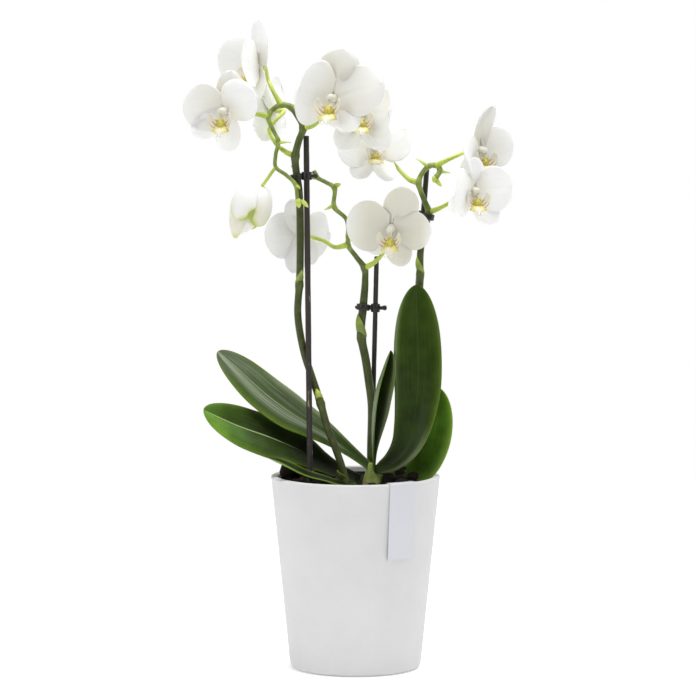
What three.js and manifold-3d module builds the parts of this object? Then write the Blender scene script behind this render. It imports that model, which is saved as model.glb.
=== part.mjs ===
// A white moth orchid in its round tapered pot, with three flower spikes tied to three thin stakes.
// Millimetres, +Z up, the origin under the middle of the pot's foot, -Y towards the viewer.
import * as THREE from "three";
import { mergeVertices } from "three/addons/utils/BufferGeometryUtils.js";
import Module from "manifold-3d";

const wasm = await Module();
wasm.setup();
const { Manifold, Mesh } = wasm;

// ---------------------------------------------------------------- driving dimensions
const POT_HEIGHT = 160;
const POT_RIM_RADIUS = 70;
const POT_FOOT_RADIUS = 54;
const POT_WALL = 6;
const POT_FLOOR = 6.5;
const POT_TAPER = (POT_RIM_RADIUS - POT_FOOT_RADIUS) / POT_HEIGHT;

const GAP = 0.3;                     // between two pieces that touch
const NURSERY_RIM_HEIGHT = 156;
const NURSERY_RIM_RADIUS = 62;
const NURSERY_WALL = 1.2;
const NURSERY_SIDES = 28;
const BARK_LEVEL = 150;
const BARK_TOP = 172;                // no chip reaches higher
const BARK_CHIPS = 32;
const BARK_SPREAD = 57;              // the radius over which the chips are laid
const GOLDEN_TURN = 2.39996;         // radians from one chip to the next

const TAG = { width: 26, outer: 63, inner: 22, thickness: 0.6, angle: -56 };

const STAKE_RADIUS = { left: 2.4, middle: 2, right: 2.2 };
const CLIP = { height: 4.4, wall: 1.5 };

const CROWN = { x: 14, y: 0, foot: 140, top: 168, radiusX: 10, radiusY: 7.5 };

const STALK = { foot: 1.35, end: 1.7, reach: 7 };   // a flower stalk's radii, and its run behind a hub
const BLADE = 0.8;                   // thickness of petals and bracts
const LEAF = 1.2;                    // thickness of a leaf

// ---------------------------------------------------------------- colours
const look = (color, roughness, metalness = 0) =>
  new THREE.MeshStandardMaterial({ color, roughness, metalness });
const POT_LOOK = look(0xdcdad4, 0.8);
const NURSERY_LOOK = look(0x1c1c1e, 0.5);
const BARK_LOOK = look(0x3a2a20, 0.95);
const CARD_LOOK = look(0xf2f1f4, 0.85);
const STAKE_LOOK = look(0x33282a, 0.7);
const CLIP_LOOK = look(0x2a2122, 0.5);
const CROWN_LOOK = look(0xa9bf45, 0.55);
const LEAF_LOOK = look(0x2f4a18, 0.4);
const STEM_LOOK = look(0x5c7032, 0.55);
const PETAL_LOOK = look(0xf4f4f0, 0.6);
const LIP_LOOK = look(0xe6d75a, 0.5);

// ---------------------------------------------------------------- geometry helpers
const plant = new THREE.Group();

/** A closed geometry as a solid that can be joined and cut. */
function solid(geometry) {
  const bare = geometry.index ? geometry.clone() : geometry;
  bare.deleteAttribute("normal");
  bare.deleteAttribute("uv");
  const merged = mergeVertices(bare, 1e-4);
  return new Manifold(new Mesh({
    numProp: 3,
    vertProperties: new Float32Array(merged.attributes.position.array),
    triVerts: new Uint32Array(merged.index.array),
  }));
}

/** The largest connected body of a solid: a cut may leave a loose scrap beside it. */
function largest(body) {
  const bodies = body.decompose();
  return bodies.reduce((a, b) => (a.volume() > b.volume() ? a : b));
}

/** A named mesh of a solid or a geometry, added to a group. */
function add(name, shape, material, group = plant) {
  let geometry = shape;
  if (!shape.isBufferGeometry) {
    const mesh = shape.getMesh();
    geometry = new THREE.BufferGeometry();
    geometry.setAttribute("position", new THREE.BufferAttribute(mesh.vertProperties, 3));
    geometry.setIndex(new THREE.BufferAttribute(mesh.triVerts, 1));
    geometry.computeVertexNormals();
  }
  const mesh = new THREE.Mesh(geometry, material);
  mesh.name = name;
  group.add(mesh);
  return mesh;
}

/** A lathe about +Z from [radius, height] points that run anticlockwise from the lower axis end. */
function lathe(points, sides) {
  const profile = points.map(([r, z]) => new THREE.Vector2(r, z));
  return new THREE.LatheGeometry(profile, sides).rotateX(Math.PI / 2);
}

/** A smooth curve through [x, y, z] points. */
const route = (points) => new THREE.CatmullRomCurve3(
  points.map((p) => new THREE.Vector3(...p)), false, "centripetal");

/** A closed round tube along a curve, with the radius given as a function of the way along it. */
function tube(curve, steps, sides, radiusAt) {
  const frames = curve.computeFrenetFrames(steps);
  const position = [];
  const index = [];
  for (let i = 0; i <= steps; i++) {
    const centre = curve.getPointAt(i / steps);
    const radius = radiusAt(i / steps);
    for (let j = 0; j < sides; j++) {
      const a = (2 * Math.PI * j) / sides;
      const p = centre.clone()
        .addScaledVector(frames.normals[i], radius * Math.cos(a))
        .addScaledVector(frames.binormals[i], radius * Math.sin(a));
      position.push(p.x, p.y, p.z);
    }
  }
  for (let i = 0; i < steps; i++) {
    for (let j = 0; j < sides; j++) {
      const a = i * sides + j;
      const b = i * sides + ((j + 1) % sides);
      index.push(a, b, b + sides, a, b + sides, a + sides);
    }
  }
  const last = steps * sides;
  for (let j = 1; j < sides - 1; j++) {
    index.push(0, j + 1, j, last, last + j, last + j + 1);
  }
  const geometry = new THREE.BufferGeometry();
  geometry.setAttribute("position", new THREE.Float32BufferAttribute(position, 3));
  geometry.setIndex(index);
  return geometry;
}

/**
 * A closed blade: the middle surface at(t, s), t from 0 at its foot to 1 at its tip and s from -1 to 1
 * across it, with half the thickness to each side of it. Both faces are split into triangles alike.
 */
function blade(at, along, across, thickness) {
  const position = [];
  const index = [];
  const row = across + 1;
  const face = (along + 1) * row;
  const step = 1e-3;
  for (const side of [1, -1]) {
    for (let i = 0; i <= along; i++) {
      for (let j = 0; j <= across; j++) {
        const t = i / along;
        const s = (2 * j) / across - 1;
        const u = at(Math.min(t + step, 1), s).sub(at(Math.max(t - step, 0), s));
        const v = at(t, Math.min(s + step, 1)).sub(at(t, Math.max(s - step, -1)));
        const p = at(t, s).addScaledVector(u.cross(v).normalize(), (side * thickness) / 2);
        position.push(p.x, p.y, p.z);
      }
    }
  }
  const quad = (a, b, c, d) => index.push(a, b, c, a, c, d);
  for (let i = 0; i < along; i++) {
    for (let j = 0; j < across; j++) {
      const a = i * row + j;
      quad(a, a + row, a + row + 1, a + 1);
      index.push(face + a, face + a + row + 1, face + a + row);
      index.push(face + a, face + a + 1, face + a + row + 1);
    }
  }
  const rim = [];
  for (let j = 0; j < across; j++) rim.push(j);
  for (let i = 0; i < along; i++) rim.push(i * row + across);
  for (let j = across; j > 0; j--) rim.push(along * row + j);
  for (let i = along; i > 0; i--) rim.push(i * row);
  rim.forEach((a, k) => {
    const b = rim[(k + 1) % rim.length];
    quad(a, b, face + b, face + a);
  });
  const geometry = new THREE.BufferGeometry();
  geometry.setAttribute("position", new THREE.Float32BufferAttribute(position, 3));
  geometry.setIndex(index);
  return geometry;
}

/** A number series from 0 to 1 that is the same at every build. */
function seeded(seed) {
  let state = seed;
  return () => {
    state = (state * 16807) % 2147483647;
    return state / 2147483647;
  };
}

const ellipsoid = (rx, ry, rz, at, wide = 8, high = 6) =>
  new THREE.SphereGeometry(1, wide, high).scale(rx, ry, rz).translate(...at);

const degrees = THREE.MathUtils.degToRad;

// ---------------------------------------------------------------- the pot: a thick tapered cup
function potGeometry() {
  const innerRim = POT_RIM_RADIUS - POT_WALL;
  const innerFoot = innerRim - POT_TAPER * (POT_HEIGHT - POT_FLOOR);
  return lathe([
    [0, 0], [POT_FOOT_RADIUS - 4.5, 0], [POT_FOOT_RADIUS - 1.4, 1.3], [POT_FOOT_RADIUS + 0.4, 4.5],
    [POT_RIM_RADIUS - 0.1, POT_HEIGHT - 1.4], [POT_RIM_RADIUS - 1.2, POT_HEIGHT],
    [innerRim + 1.2, POT_HEIGHT], [innerRim - 0.1, POT_HEIGHT - 1.4],
    [innerFoot + 0.4, POT_FLOOR + 4], [innerFoot - 3.5, POT_FLOOR], [0, POT_FLOOR],
  ], 40);
}
add("pot", potGeometry(), POT_LOOK);

// ---------------------------------------------------------------- the thin nursery pot inside it
const nurseryRadius = (z) => NURSERY_RIM_RADIUS - 2 - POT_TAPER * (NURSERY_RIM_HEIGHT - 6 - z);
function nurseryGeometry() {
  const foot = POT_FLOOR + GAP;
  const band = NURSERY_RIM_HEIGHT - 6;
  const rim = NURSERY_RIM_RADIUS;
  return lathe([
    [0, foot], [nurseryRadius(foot) - 2, foot], [nurseryRadius(foot + 2), foot + 2],
    [nurseryRadius(band), band], [rim, band], [rim, NURSERY_RIM_HEIGHT],
    [rim - NURSERY_WALL, NURSERY_RIM_HEIGHT], [rim - NURSERY_WALL, band + NURSERY_WALL],
    [nurseryRadius(band) - NURSERY_WALL, band],
    [nurseryRadius(foot + 3) - NURSERY_WALL, foot + 3], [nurseryRadius(foot) - 4, foot + NURSERY_WALL],
    [0, foot + NURSERY_WALL],
  ], NURSERY_SIDES);
}
add("nursery_pot", nurseryGeometry(), NURSERY_LOOK);

// ---------------------------------------------------------------- the card folded over the rim
/** Its U-shaped section is drawn in the radius and the height, extruded, and bent round the pot. */
function tagGeometry() {
  const t = TAG.thickness;
  const out = POT_RIM_RADIUS + GAP;
  const inn = POT_RIM_RADIUS - POT_WALL - 0.5;
  const top = POT_HEIGHT + GAP;
  const lean = POT_TAPER * 0.85;
  const section = new THREE.Shape([
    [out + t, top - 1], [out - 0.6, top + t], [inn + 0.4, top + t], [inn - t, top - 1],
    [inn - t - lean * TAG.inner, top - TAG.inner], [inn - lean * TAG.inner, top - TAG.inner],
    [inn, top - 1.2], [inn + 0.6, top], [out - 0.9, top], [out, top - 1.2],
    [out - lean * TAG.outer, top - TAG.outer], [out + t - lean * TAG.outer, top - TAG.outer],
  ].map(([r, z]) => new THREE.Vector2(r, z)));
  const card = new THREE.ExtrudeGeometry(section, { depth: TAG.width, steps: 4, bevelEnabled: false });
  const p = card.attributes.position;
  for (let i = 0; i < p.count; i++) {
    const radius = p.getX(i);
    const height = p.getY(i);
    const angle = degrees(TAG.angle) - (p.getZ(i) - TAG.width / 2) / POT_RIM_RADIUS;
    p.setXYZ(i, radius * Math.cos(angle), radius * Math.sin(angle), height);
  }
  return card;
}
add("tag", tagGeometry(), CARD_LOOK);

// ---------------------------------------------------------------- the stakes and their clips
const STAKES = {
  left: { foot: [-36.5, -19.5, 60], head: [-40.5, -2.5, 441] },
  middle: { foot: [11, 26, 60], head: [17.5, 11, 341] },
  right: { foot: [46.2, 14, 90], head: [59, 16, 414] },
};
const stakePoint = (side, z) => {
  const foot = new THREE.Vector3(...STAKES[side].foot);
  const head = new THREE.Vector3(...STAKES[side].head);
  return foot.clone().lerp(head, (z - foot.z) / (head.z - foot.z));
};
function stakeGeometry(side, grow = 0) {
  const foot = new THREE.Vector3(...STAKES[side].foot);
  const axis = new THREE.Vector3(...STAKES[side].head).sub(foot);
  const radius = STAKE_RADIUS[side] + grow;
  const turn = new THREE.Quaternion().setFromUnitVectors(
    new THREE.Vector3(0, 1, 0), axis.clone().normalize());
  return new THREE.CylinderGeometry(radius, radius, axis.length(), 8)
    .translate(0, axis.length() / 2, 0).applyQuaternion(turn).translate(...foot.toArray());
}

// ---------------------------------------------------------------- the flower spikes
const SPIKES = {
  left: {
    stem: [
      [-5, -9, 110], [-8.5, -9, 157], [-16, -8.5, 182], [-22.5, -8, 198.5], [-29.5, -7, 223],
      [-36.5, -6, 244], [-42.5, -5.5, 263], [-47.5, -5, 293.5], [-46, -5, 322.5], [-45.5, -5, 363.5],
      [-46.5, -5, 396.5], [-48.5, -5, 410], [-49.5, -6.5, 423.5], [-46.5, -7.5, 437], [-43, -7.5, 447.5],
      [-47.5, -4, 457], [-54.5, 1, 465], [-63, 0, 465.5], [-71.5, -3, 457], [-67.5, -4, 445.5],
      [-63.5, -3, 436.5], [-65.5, -6, 425.5], [-65.5, -8, 415.5], [-57, -10, 410], [-49, -12, 404],
      [-47.5, -12.5, 388],
    ],
    steps: 50, thick: 2.5, thin: 1.3, thinFrom: 0.66, thinTo: 0.9,
    stalks: [
      { bloom: 1, from: [-61, 0, 466], via: [[-67.5, 4, 477]], reach: 5, drop: 9 },
      { bloom: 2, from: [-71.5, -3, 457], via: [[-79, -4, 458.5]] },
      { bloom: 3, from: [-50, -6, 424.5], via: [[-58, -1, 428], [-66.5, 6, 435.5], [-71, 12, 446]] },
      { bloom: 4, from: [-43, -7.5, 447.5], via: [[-34, -11, 450]] },
      { bloom: 5, from: [-53, 0, 464.5], via: [[-43, 8, 464]] },
      { bud: true, from: [-65.5, -8, 415.5], via: [] },
    ],
    bracts: [
      { at: [-46.5, -7, 318], to: [-44, -8, 331], wide: 3 },
      { at: [-31, -8.5, 228], to: [-35, -9.5, 243], wide: 3.2 },
      { at: [-13, -10.5, 163], to: [-19, -11.5, 176], wide: 4 },
      { at: [-63.5, -3, 436.5], to: [-52.5, -6, 435.5], wide: 2 },
      { at: [-49, -5, 424], to: [-53, -6, 415], wide: 2 },
    ],
    tips: [[-48, -12.5, 384], [-44, -13.5, 385.5], [-40.5, -14.5, 382.5]],
  },
  middle: {
    stem: [
      [13, 13, 110], [13, 13, 156], [13, 12, 179.5], [13.5, 11, 217.5], [11, 10.5, 238],
      [8.5, 10.5, 255], [4.5, 11, 277.5], [6.5, 12, 300.5], [8, 10, 326], [6, 8, 337.5],
      [0.5, 6, 344], [-6, 3, 351], [-6, 2, 358], [-7.5, 0, 372], [-17.5, -1, 382.5],
      [-17.5, -2, 398], [-25, 0, 403], [-31.5, 2.5, 406.5], [-34.5, 3, 412],
    ],
    steps: 36, thick: 3.2, thin: 1.5, thinFrom: 0.55, thinTo: 0.8,
    stalks: [
      { bloom: 8, from: [7, 8, 336], via: [[16, 7, 337.5], [23, 2, 345]] },
      { bloom: 7, from: [-6, 3, 351], via: [[-17, 4, 349], [-26, 6, 354]] },
    ],
    bracts: [
      { at: [4.5, 8.5, 281], to: [2, 7.5, 294], wide: 3.6 },
      { at: [-6, 2, 358], to: [-1, 0, 358.5], wide: 2 },
      { at: [-17, -1, 382.5], to: [-26, -3, 380], wide: 2.2 },
      { at: [-17.5, -2, 398], to: [-12, -3, 402], wide: 2.2 },
      { at: [-33, 2.5, 408], to: [-36.5, 3, 405.5], wide: 2 },
    ],
    tips: [],
  },
  right: {
    stem: [
      [27, 14, 110], [30, 13, 157], [40.5, 12, 212.5], [47.5, 11, 271], [51, 9.5, 317],
      [52, 9, 346], [57.5, 9, 364.5], [60.5, 9, 377], [56.5, 8.5, 388], [53.5, 8, 396],
      [52, 7.5, 402], [55.5, 8.5, 410.5], [61.5, 9, 416], [68, 8, 415.5], [69.5, 7, 411.5],
      [66, 5, 406],
    ],
    steps: 34, thick: 2.9, thin: 1.5, thinFrom: 0.55, thinTo: 0.92,
    stalks: [
      { bloom: 6, from: [52, 7.5, 402], via: [[45, 14, 404], [37, 24, 411], [27, 29.5, 421]] },
      { bloom: 9, from: [66, 8, 415.8], via: [[79.5, 5, 422.5]] },
      { bloom: 10, from: [60.5, 9, 377.5], via: [[70.5, 6, 381.5]] },
    ],
    bracts: [
      { at: [60.5, 9, 416.5], to: [49.5, 8, 422], wide: 2.4 },
      { at: [69, 7, 412.5], to: [78.5, 5, 410], wide: 2 },
      { at: [66, 5, 406.5], to: [71, 3.5, 398.5], wide: 2 },
      { at: [50, 10, 305], to: [50, 9, 318], wide: 3.4 },
    ],
    tips: [[65, 4.5, 405]],
  },
};

const smooth = (u, a, b) => THREE.MathUtils.smoothstep(u, a, b);

/** The stem alone: thick at its foot, thin in the zigzag that carries the blooms. */
function stemGeometry(spike, grow = 0) {
  const { thick, thin, thinFrom, thinTo } = spike;
  return tube(route(spike.stem), spike.steps, 6,
    (u) => grow + thick + (thin - thick) * smooth(u, thinFrom, thinTo));
}

/** A pointed, cupped scale that lies on the stem at `at` and points to `to`. */
function bractGeometry({ at, to, wide }) {
  const foot = new THREE.Vector3(...at);
  const axis = new THREE.Vector3(...to).sub(foot);
  const cone = new THREE.ConeGeometry(wide / 1.5, axis.length(), 5).translate(0, axis.length() / 2, 0);
  const turn = new THREE.Quaternion().setFromUnitVectors(
    new THREE.Vector3(0, 1, 0), axis.clone().normalize());
  return cone.applyQuaternion(turn).translate(...at);
}

// ---------------------------------------------------------------- the blooms
// Each is given by the middle of its hub, the way it faces (turn + to the right, nod + down,
// roll + clockwise), its size, and what sets its own tepals apart from the common shape.
const BLOOMS = {
  1: { at: [-80, 8, 497], turn: -58, nod: -6, size: 1.02, sepalR: { phi: -70, size: 0.75 },
    petalL: { lift: 22, curl: 20, size: 1.08 }, petalR: { lift: 20, curl: 20 },
    dorsal: { size: 1.12 } },
  2: { at: [-104.5, -30, 462], turn: -8, nod: 6, size: 1,
    sepalL: { phi: -144 }, sepalR: { phi: -84 }, petalR: { phi: 24 }, dorsal: { phi: 86 },
    petalL: { wide: 0.88, phi: 170 } },
  3: { at: [-69, 26, 461], turn: -112, roll: 28, size: 0.95, sepalR: { size: 0.75 } },
  4: { at: [-18, -24, 472], turn: -6, nod: 12, size: 1.12,
    petalL: { phi: 176, lift: 26, curl: 38 }, petalR: { phi: 46, lift: 28, curl: 25, size: 1.06 },
    dorsal: { phi: 76, wide: 1.25, size: 1.06 }, sepalL: { phi: -100, size: 0.75 },
    sepalR: { phi: -50, size: 0.9 } },
  5: { at: [6, 2, 459], turn: 6, nod: 22, size: 1.04,
    petalR: { phi: -4, lift: 30, curl: 42 }, petalL: { phi: 186, lift: 10, curl: 30 } },
  6: { at: [14.5, 20, 428], nod: 12, roll: 4, size: 0.86,
    petalR: { phi: 20 }, petalL: { phi: 175 } },
  7: { at: [-43.5, 22, 357.5], turn: -155, size: 0.95,
    dorsal: { phi: 70 }, petalL: { phi: 178, lift: 22, curl: 15 }, petalR: { phi: 2 },
    sepalR: { phi: -73 }, sepalL: { phi: -112, size: 0.8 } },
  8: { at: [29.5, -14, 366], nod: 3, size: 1,
    petalL: { phi: 178 }, petalR: { phi: -2, size: 0.97, wide: 0.9 }, dorsal: { phi: 74, size: 1.04 },
    sepalR: { phi: -74 }, sepalL: { phi: -128 } },
  9: { at: [102.5, 5, 429], turn: 48, nod: 12, size: 0.96,
    petalR: { phi: 10 }, petalL: { phi: 196 }, dorsal: { phi: 94, size: 1.12 },
    sepalL: { phi: -134 }, sepalR: { phi: -46, size: 0.8 } },
  10: { at: [99, -14, 396], turn: 44, nod: 8, size: 0.96,
    sepalL: { phi: -144 }, petalR: { phi: 4 } },
};

const PETAL = { length: 34, wide: 20.5, peak: 0.48, claw: 0.22, set: -2.2, lift: 4, curl: 8,
  along: 4, across: 4 };
const SEPAL = { length: 32.5, wide: 11.3, peak: 0.52, claw: 0.38, set: 1, lift: 3, curl: 6,
  along: 3, across: 2 };
const TEPALS = {
  dorsal: { ...SEPAL, phi: 90 },
  petalR: { ...PETAL, phi: 8 },
  petalL: { ...PETAL, phi: 172 },
  sepalR: { ...SEPAL, phi: -56 },
  sepalL: { ...SEPAL, phi: -124 },
};
const HUB_RADIUS = 3.2;
const HUB_BACK = 4.2;                // the bloom's back lies this far behind the middle of its hub
const COLUMN = 9;                    // and the column's end this far before it

/** Half the width of a tepal: a sine from its claw to its widest, then an ellipse, then a blunt tip. */
function halfWidth(t, { peak, claw }) {
  if (t < peak) return claw + (1 - claw) * Math.sin((t / peak) * (Math.PI / 2));
  return Math.max(0.2, Math.sqrt(1 - ((t - peak) / (1 - peak)) ** 2));
}

/** A tepal: it leaves the hub in the direction phi, lifts forward by an arc and is split at its rib. */
function tepalGeometry(common, own, bloomSize) {
  const tepal = { ...common, ...own };
  const scale = bloomSize * (own.size ?? 1);
  const length = tepal.length * scale;
  const widest = common.wide * scale * (own.wide ?? 1);
  const start = degrees(tepal.lift);
  const bend = degrees(tepal.curl) + 1e-6;
  const phi = degrees(tepal.phi);
  return blade((t, s) => {
    const reach = 1 + (length * (Math.sin(start + bend * t) - Math.sin(start))) / bend;
    const lift = (length * (Math.cos(start) - Math.cos(start + bend * t))) / bend;
    const q = s * widest * halfWidth(t, tepal);
    return new THREE.Vector3(
      reach * Math.cos(phi) - q * Math.sin(phi),
      tepal.set - lift,
      reach * Math.sin(phi) + q * Math.cos(phi));
  }, tepal.along, tepal.across, BLADE);
}

/** The hub and the column that stands forward from it, over the lip. */
function columnSolid(grow = 0) {
  const profile = [[HUB_RADIUS * 0.6, -HUB_BACK], [HUB_RADIUS, -1], [HUB_RADIUS, 3.2], [2.3, 5],
    [2.8, COLUMN - 1.5], [1.4, COLUMN + grow]].map(([radius, y]) => [radius + grow, y]);
  return solid(lathe([[0, -HUB_BACK], ...profile, [0, COLUMN + grow]], 6).rotateX(Math.PI / 2));
}

/** The five tepals and the column, one body. */
function perianth(bloom) {
  const parts = Object.entries(TEPALS).map(([name, common]) =>
    solid(tepalGeometry(common, bloom[name] ?? {}, bloom.size)));
  return largest(Manifold.union([...parts, columnSolid()]));
}

/** The lip: a claw under the column, a callus, two side lobes that rise beside it, and a middle lobe. */
function lip(size) {
  const lobe = (side) => blade((t, s) => new THREE.Vector3(
    side * (1.2 + 6.6 * Math.sin(t * 1.9)),
    -8 - 5 * t + 3.4 * s * (1 - 0.4 * t),
    -6.4 + 9.5 * t), 2, 1, BLADE);
  const middle = blade((t, s) => new THREE.Vector3(
    s * (2 + 9 * t * (1.25 - t)) * (t < 0.9 ? 1 : 0.6),
    -7.5 - 12 * t,
    -6.6 - 7 * t * t - 0.06 * (s * 6) ** 2), 3, 2, BLADE);
  const parts = [
    solid(ellipsoid(1.7, 2.4, 3.2, [0, -6.2, -4.2], 5, 4)),
    solid(ellipsoid(2.6, 3.2, 2.2, [0, -8.2, -6.2], 5, 4)),
    solid(lobe(1)), solid(lobe(-1)), solid(middle),
  ];
  return largest(Manifold.union(parts).scale([size, size, size]).subtract(columnSolid(GAP)));
}

const facing = ({ turn = 0, nod = 0, roll = 0 }) =>
  new THREE.Euler(degrees(nod), degrees(roll), degrees(turn), "ZXY");

/** The last points of a stalk: it comes up from `drop` lower and ends square to the bloom's back. */
function stalkEnds(bloom, reach = STALK.reach, drop = 0) {
  const back = new THREE.Vector3(0, 1, 0).applyEuler(facing(bloom));
  const behind = (far, low) => new THREE.Vector3(...bloom.at)
    .addScaledVector(back, HUB_BACK + far).add(new THREE.Vector3(0, 0, -low));
  return [behind(reach, drop), behind(reach / 2, 0), behind(GAP, 0)];
}

const number = (n) => String(n).padStart(2, "0");
for (const [n, bloom] of Object.entries(BLOOMS)) {
  const head = new THREE.Group();
  head.position.set(...bloom.at);
  head.rotation.copy(facing(bloom));
  add(`bloom_${number(n)}`, perianth(bloom), PETAL_LOOK, head);
  add(`lip_${number(n)}`, lip(bloom.size), LIP_LOOK, head);
  plant.add(head);
}

// ---------------------------------------------------------------- the half-open bud
const BUD = { at: [-87, -12, 380], lean: 8, neck: [6, 0, 18.7], above: [9.5, 0, 25] };
function budSolid() {
  return Manifold.union([
    solid(ellipsoid(13.5, 13, 18.5, [2.5, 0, 1.5], 9, 7)),
    solid(ellipsoid(10, 9, 16.5, [-5, -4, -6], 8, 6)),
    solid(ellipsoid(9.5, 9, 14.5, [5, -4.5, -0.5], 8, 6)),
  ]);
}
const budHead = new THREE.Group();
budHead.position.set(...BUD.at);
budHead.rotation.copy(facing({ roll: BUD.lean }));
add("bud", budSolid(), PETAL_LOOK, budHead);
plant.add(budHead);
const onBud = (point) => new THREE.Vector3(...point).applyEuler(budHead.rotation).add(budHead.position);

// ---------------------------------------------------------------- spikes with stalks and bracts
function spikeSolid(spike) {
  const parts = [solid(stemGeometry(spike))];
  for (const stalk of spike.stalks) {
    const ends = stalk.bud
      ? [onBud(BUD.above), onBud(BUD.neck)]
      : stalkEnds(BLOOMS[stalk.bloom], stalk.reach, stalk.drop);
    const path = route([stalk.from, ...stalk.via, ...ends.map((p) => p.toArray())]);
    parts.push(solid(tube(path, 6, 5, (u) => STALK.foot + (STALK.end - STALK.foot) * u)));
  }
  for (const bract of spike.bracts) parts.push(solid(bractGeometry(bract)));
  for (const tip of spike.tips) parts.push(solid(ellipsoid(2.3, 2, 3, tip, 6, 5)));
  return largest(Manifold.union(parts));
}
for (const [side, spike] of Object.entries(SPIKES)) {
  add(`spike_${side}`, spikeSolid(spike), STEM_LOOK);
  add(`stake_${side}`, stakeGeometry(side), STAKE_LOOK);
}

// ---------------------------------------------------------------- clips: two rings, a bar and a stub
const CLIPS = {
  left: { height: 408, stemRadius: 2.45, end: 9.5 },
  middle: { height: 298, stemRadius: 3.1, end: 9.5 },
  right: { height: 375, stemRadius: 2.4, end: 8 },
};
function ring(centre, axis, inner, height) {
  const outer = inner + CLIP.wall;
  const shape = lathe([[inner, -height / 2], [outer, -height / 2], [outer, height / 2],
    [inner, height / 2], [inner, -height / 2]], 8);
  const turn = new THREE.Quaternion().setFromUnitVectors(new THREE.Vector3(0, 0, 1), axis);
  return shape.applyQuaternion(turn).translate(...centre.toArray());
}
function clipSolid(side) {
  const { height, stemRadius, end } = CLIPS[side];
  const hub = stakePoint(side, height);
  const stakeAxis = stakePoint(side, height + 1).sub(hub).normalize();
  const stem = route(SPIKES[side].stem);
  let stemPoint = stem.getPointAt(0);
  let stemAxis = stem.getTangentAt(0);
  for (let i = 0; i <= 400; i++) {
    const p = stem.getPointAt(i / 400);
    if (p.distanceTo(hub) < stemPoint.distanceTo(hub)) {
      stemPoint = p;
      stemAxis = stem.getTangentAt(i / 400);
    }
  }
  const clear = (radius, sides) => (radius + GAP) / Math.cos(Math.PI / sides) + 0.05;
  const inner = clear(STAKE_RADIUS[side], 8);
  const out = hub.clone().sub(stemPoint).setZ(0).normalize();
  const stub = new THREE.LineCurve3(hub.clone().addScaledVector(out, inner + 0.5),
    hub.clone().addScaledVector(out, end));
  const body = Manifold.union([
    solid(ring(hub, stakeAxis, inner, CLIP.height + 2)),
    solid(ring(stemPoint, stemAxis, clear(stemRadius, 8) + 0.2, CLIP.height)),
    solid(tube(stub, 2, 5, (u) => (u < 0.9 ? 1.4 : 2))),
  ]);
  return largest(body
    .subtract(solid(stakeGeometry(side, GAP)))
    .subtract(solid(stemGeometry(SPIKES[side], GAP))));
}
for (const side of Object.keys(CLIPS)) add(`clip_${side}`, clipSolid(side), CLIP_LOOK);

// ---------------------------------------------------------------- the crown: a short sheathed stem
function crownSolid(grow = 0) {
  const { x, y, foot, top, radiusX, radiusY } = CROWN;
  const stem = new THREE.CylinderGeometry(0.75, 1, top - 8 - foot, 10)
    .rotateX(Math.PI / 2).scale(radiusX + grow, radiusY + grow, 1)
    .translate(x, y, (foot + top - 8) / 2);
  const sheath = (dx, dy, lean, tall, wide) => new THREE.ConeGeometry(wide + grow, tall + grow, 7)
    .rotateX(Math.PI / 2).scale(1, 0.6, 1).rotateY(degrees(lean)).translate(x + dx, y + dy, foot + 16);
  return Manifold.union([
    solid(stem), solid(sheath(0, -2, 0, 24, 8)), solid(sheath(-4, 1, -18, 20, 6)),
    solid(sheath(4, 1, 16, 20, 6)),
  ]);
}

// ---------------------------------------------------------------- the leaves
// A spine, the widest half width, the way the upper face looks at the foot and at the tip, and how
// steeply the two halves fold up from the midrib there.
const LEAVES = {
  1: { spine: [[3, 4, 161], [-8.5, 6, 172], [-21, 7, 183.5], [-36, 8, 196], [-54.5, 10, 210.5],
      [-75, 14, 226.5], [-96, 19, 245], [-114.5, 25, 261]],
    wide: 18.5, peak: 0.56, foot: 0.28, face: [[0, -0.6, 0.8], [0.2, -0.75, 0.5]], fold: [0.6, 0.15] },
  2: { spine: [[3, 3, 155], [-12, 4, 161], [-30, 5, 170], [-48, 4, 181], [-72, -1, 192],
      [-96, -8, 201.5], [-114, -15, 210], [-125, -20, 216.5]],
    wide: 23, peak: 0.6, foot: 0.3, face: [[0, -0.6, 0.8], [0, -0.7, 0.7]], fold: [0.5, 0.1] },
  3: { spine: [[2, -11, 156], [-14, -20, 162], [-34, -27, 167], [-54, -33, 173], [-72, -38, 179]],
    wide: 8, peak: 0.5, foot: 0.5, face: [[0, 0, 1], [0, 0, 1]], fold: [0.8, 0.5] },
  4: { spine: [[13.5, -3, 158], [12.5, -5.5, 172], [13.5, -8, 208], [17.5, -10, 231],
      [23.5, -11, 250], [29, -12, 265]],
    wide: 10, peak: 0.6, foot: 0.2, face: [[0.5, -0.8, 0], [0.5, -0.8, 0]], fold: [0.6, 0.5] },
  5: { spine: [[17, -3, 156], [31, -6, 167], [43, -8, 186], [49.5, -9, 209], [51.5, -9, 240],
      [51, -8, 272], [50.5, -6, 298], [50.5, -4, 318.5]],
    wide: 20, peak: 0.62, foot: 0.3, face: [[-0.3, -0.6, 0.7], [0.1, -1, 0.1]], fold: [0.5, 0.15] },
  6: { spine: [[25, 3, 155], [40, 4, 157], [54, 4, 165], [62, 4, 182], [66.5, 4, 204],
      [68, 5, 221], [68, 6, 232.5]],
    wide: 15, peak: 0.6, foot: 0.4, face: [[-0.2, -0.4, 0.9], [-0.3, -1, 0.1]], fold: [0.5, 0.2] },
};

/** Half the width of a leaf from its channelled foot to its blunt tip. */
function leafHalfWidth(t, { wide, peak, foot }) {
  if (t < peak) return wide * (foot + (1 - foot) * Math.sin((t / peak) * (Math.PI / 2)) ** 1.5);
  return wide * Math.max(0.1, (1 - ((t - peak) / (1 - peak)) ** 2.2) ** 0.6);
}

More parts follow.
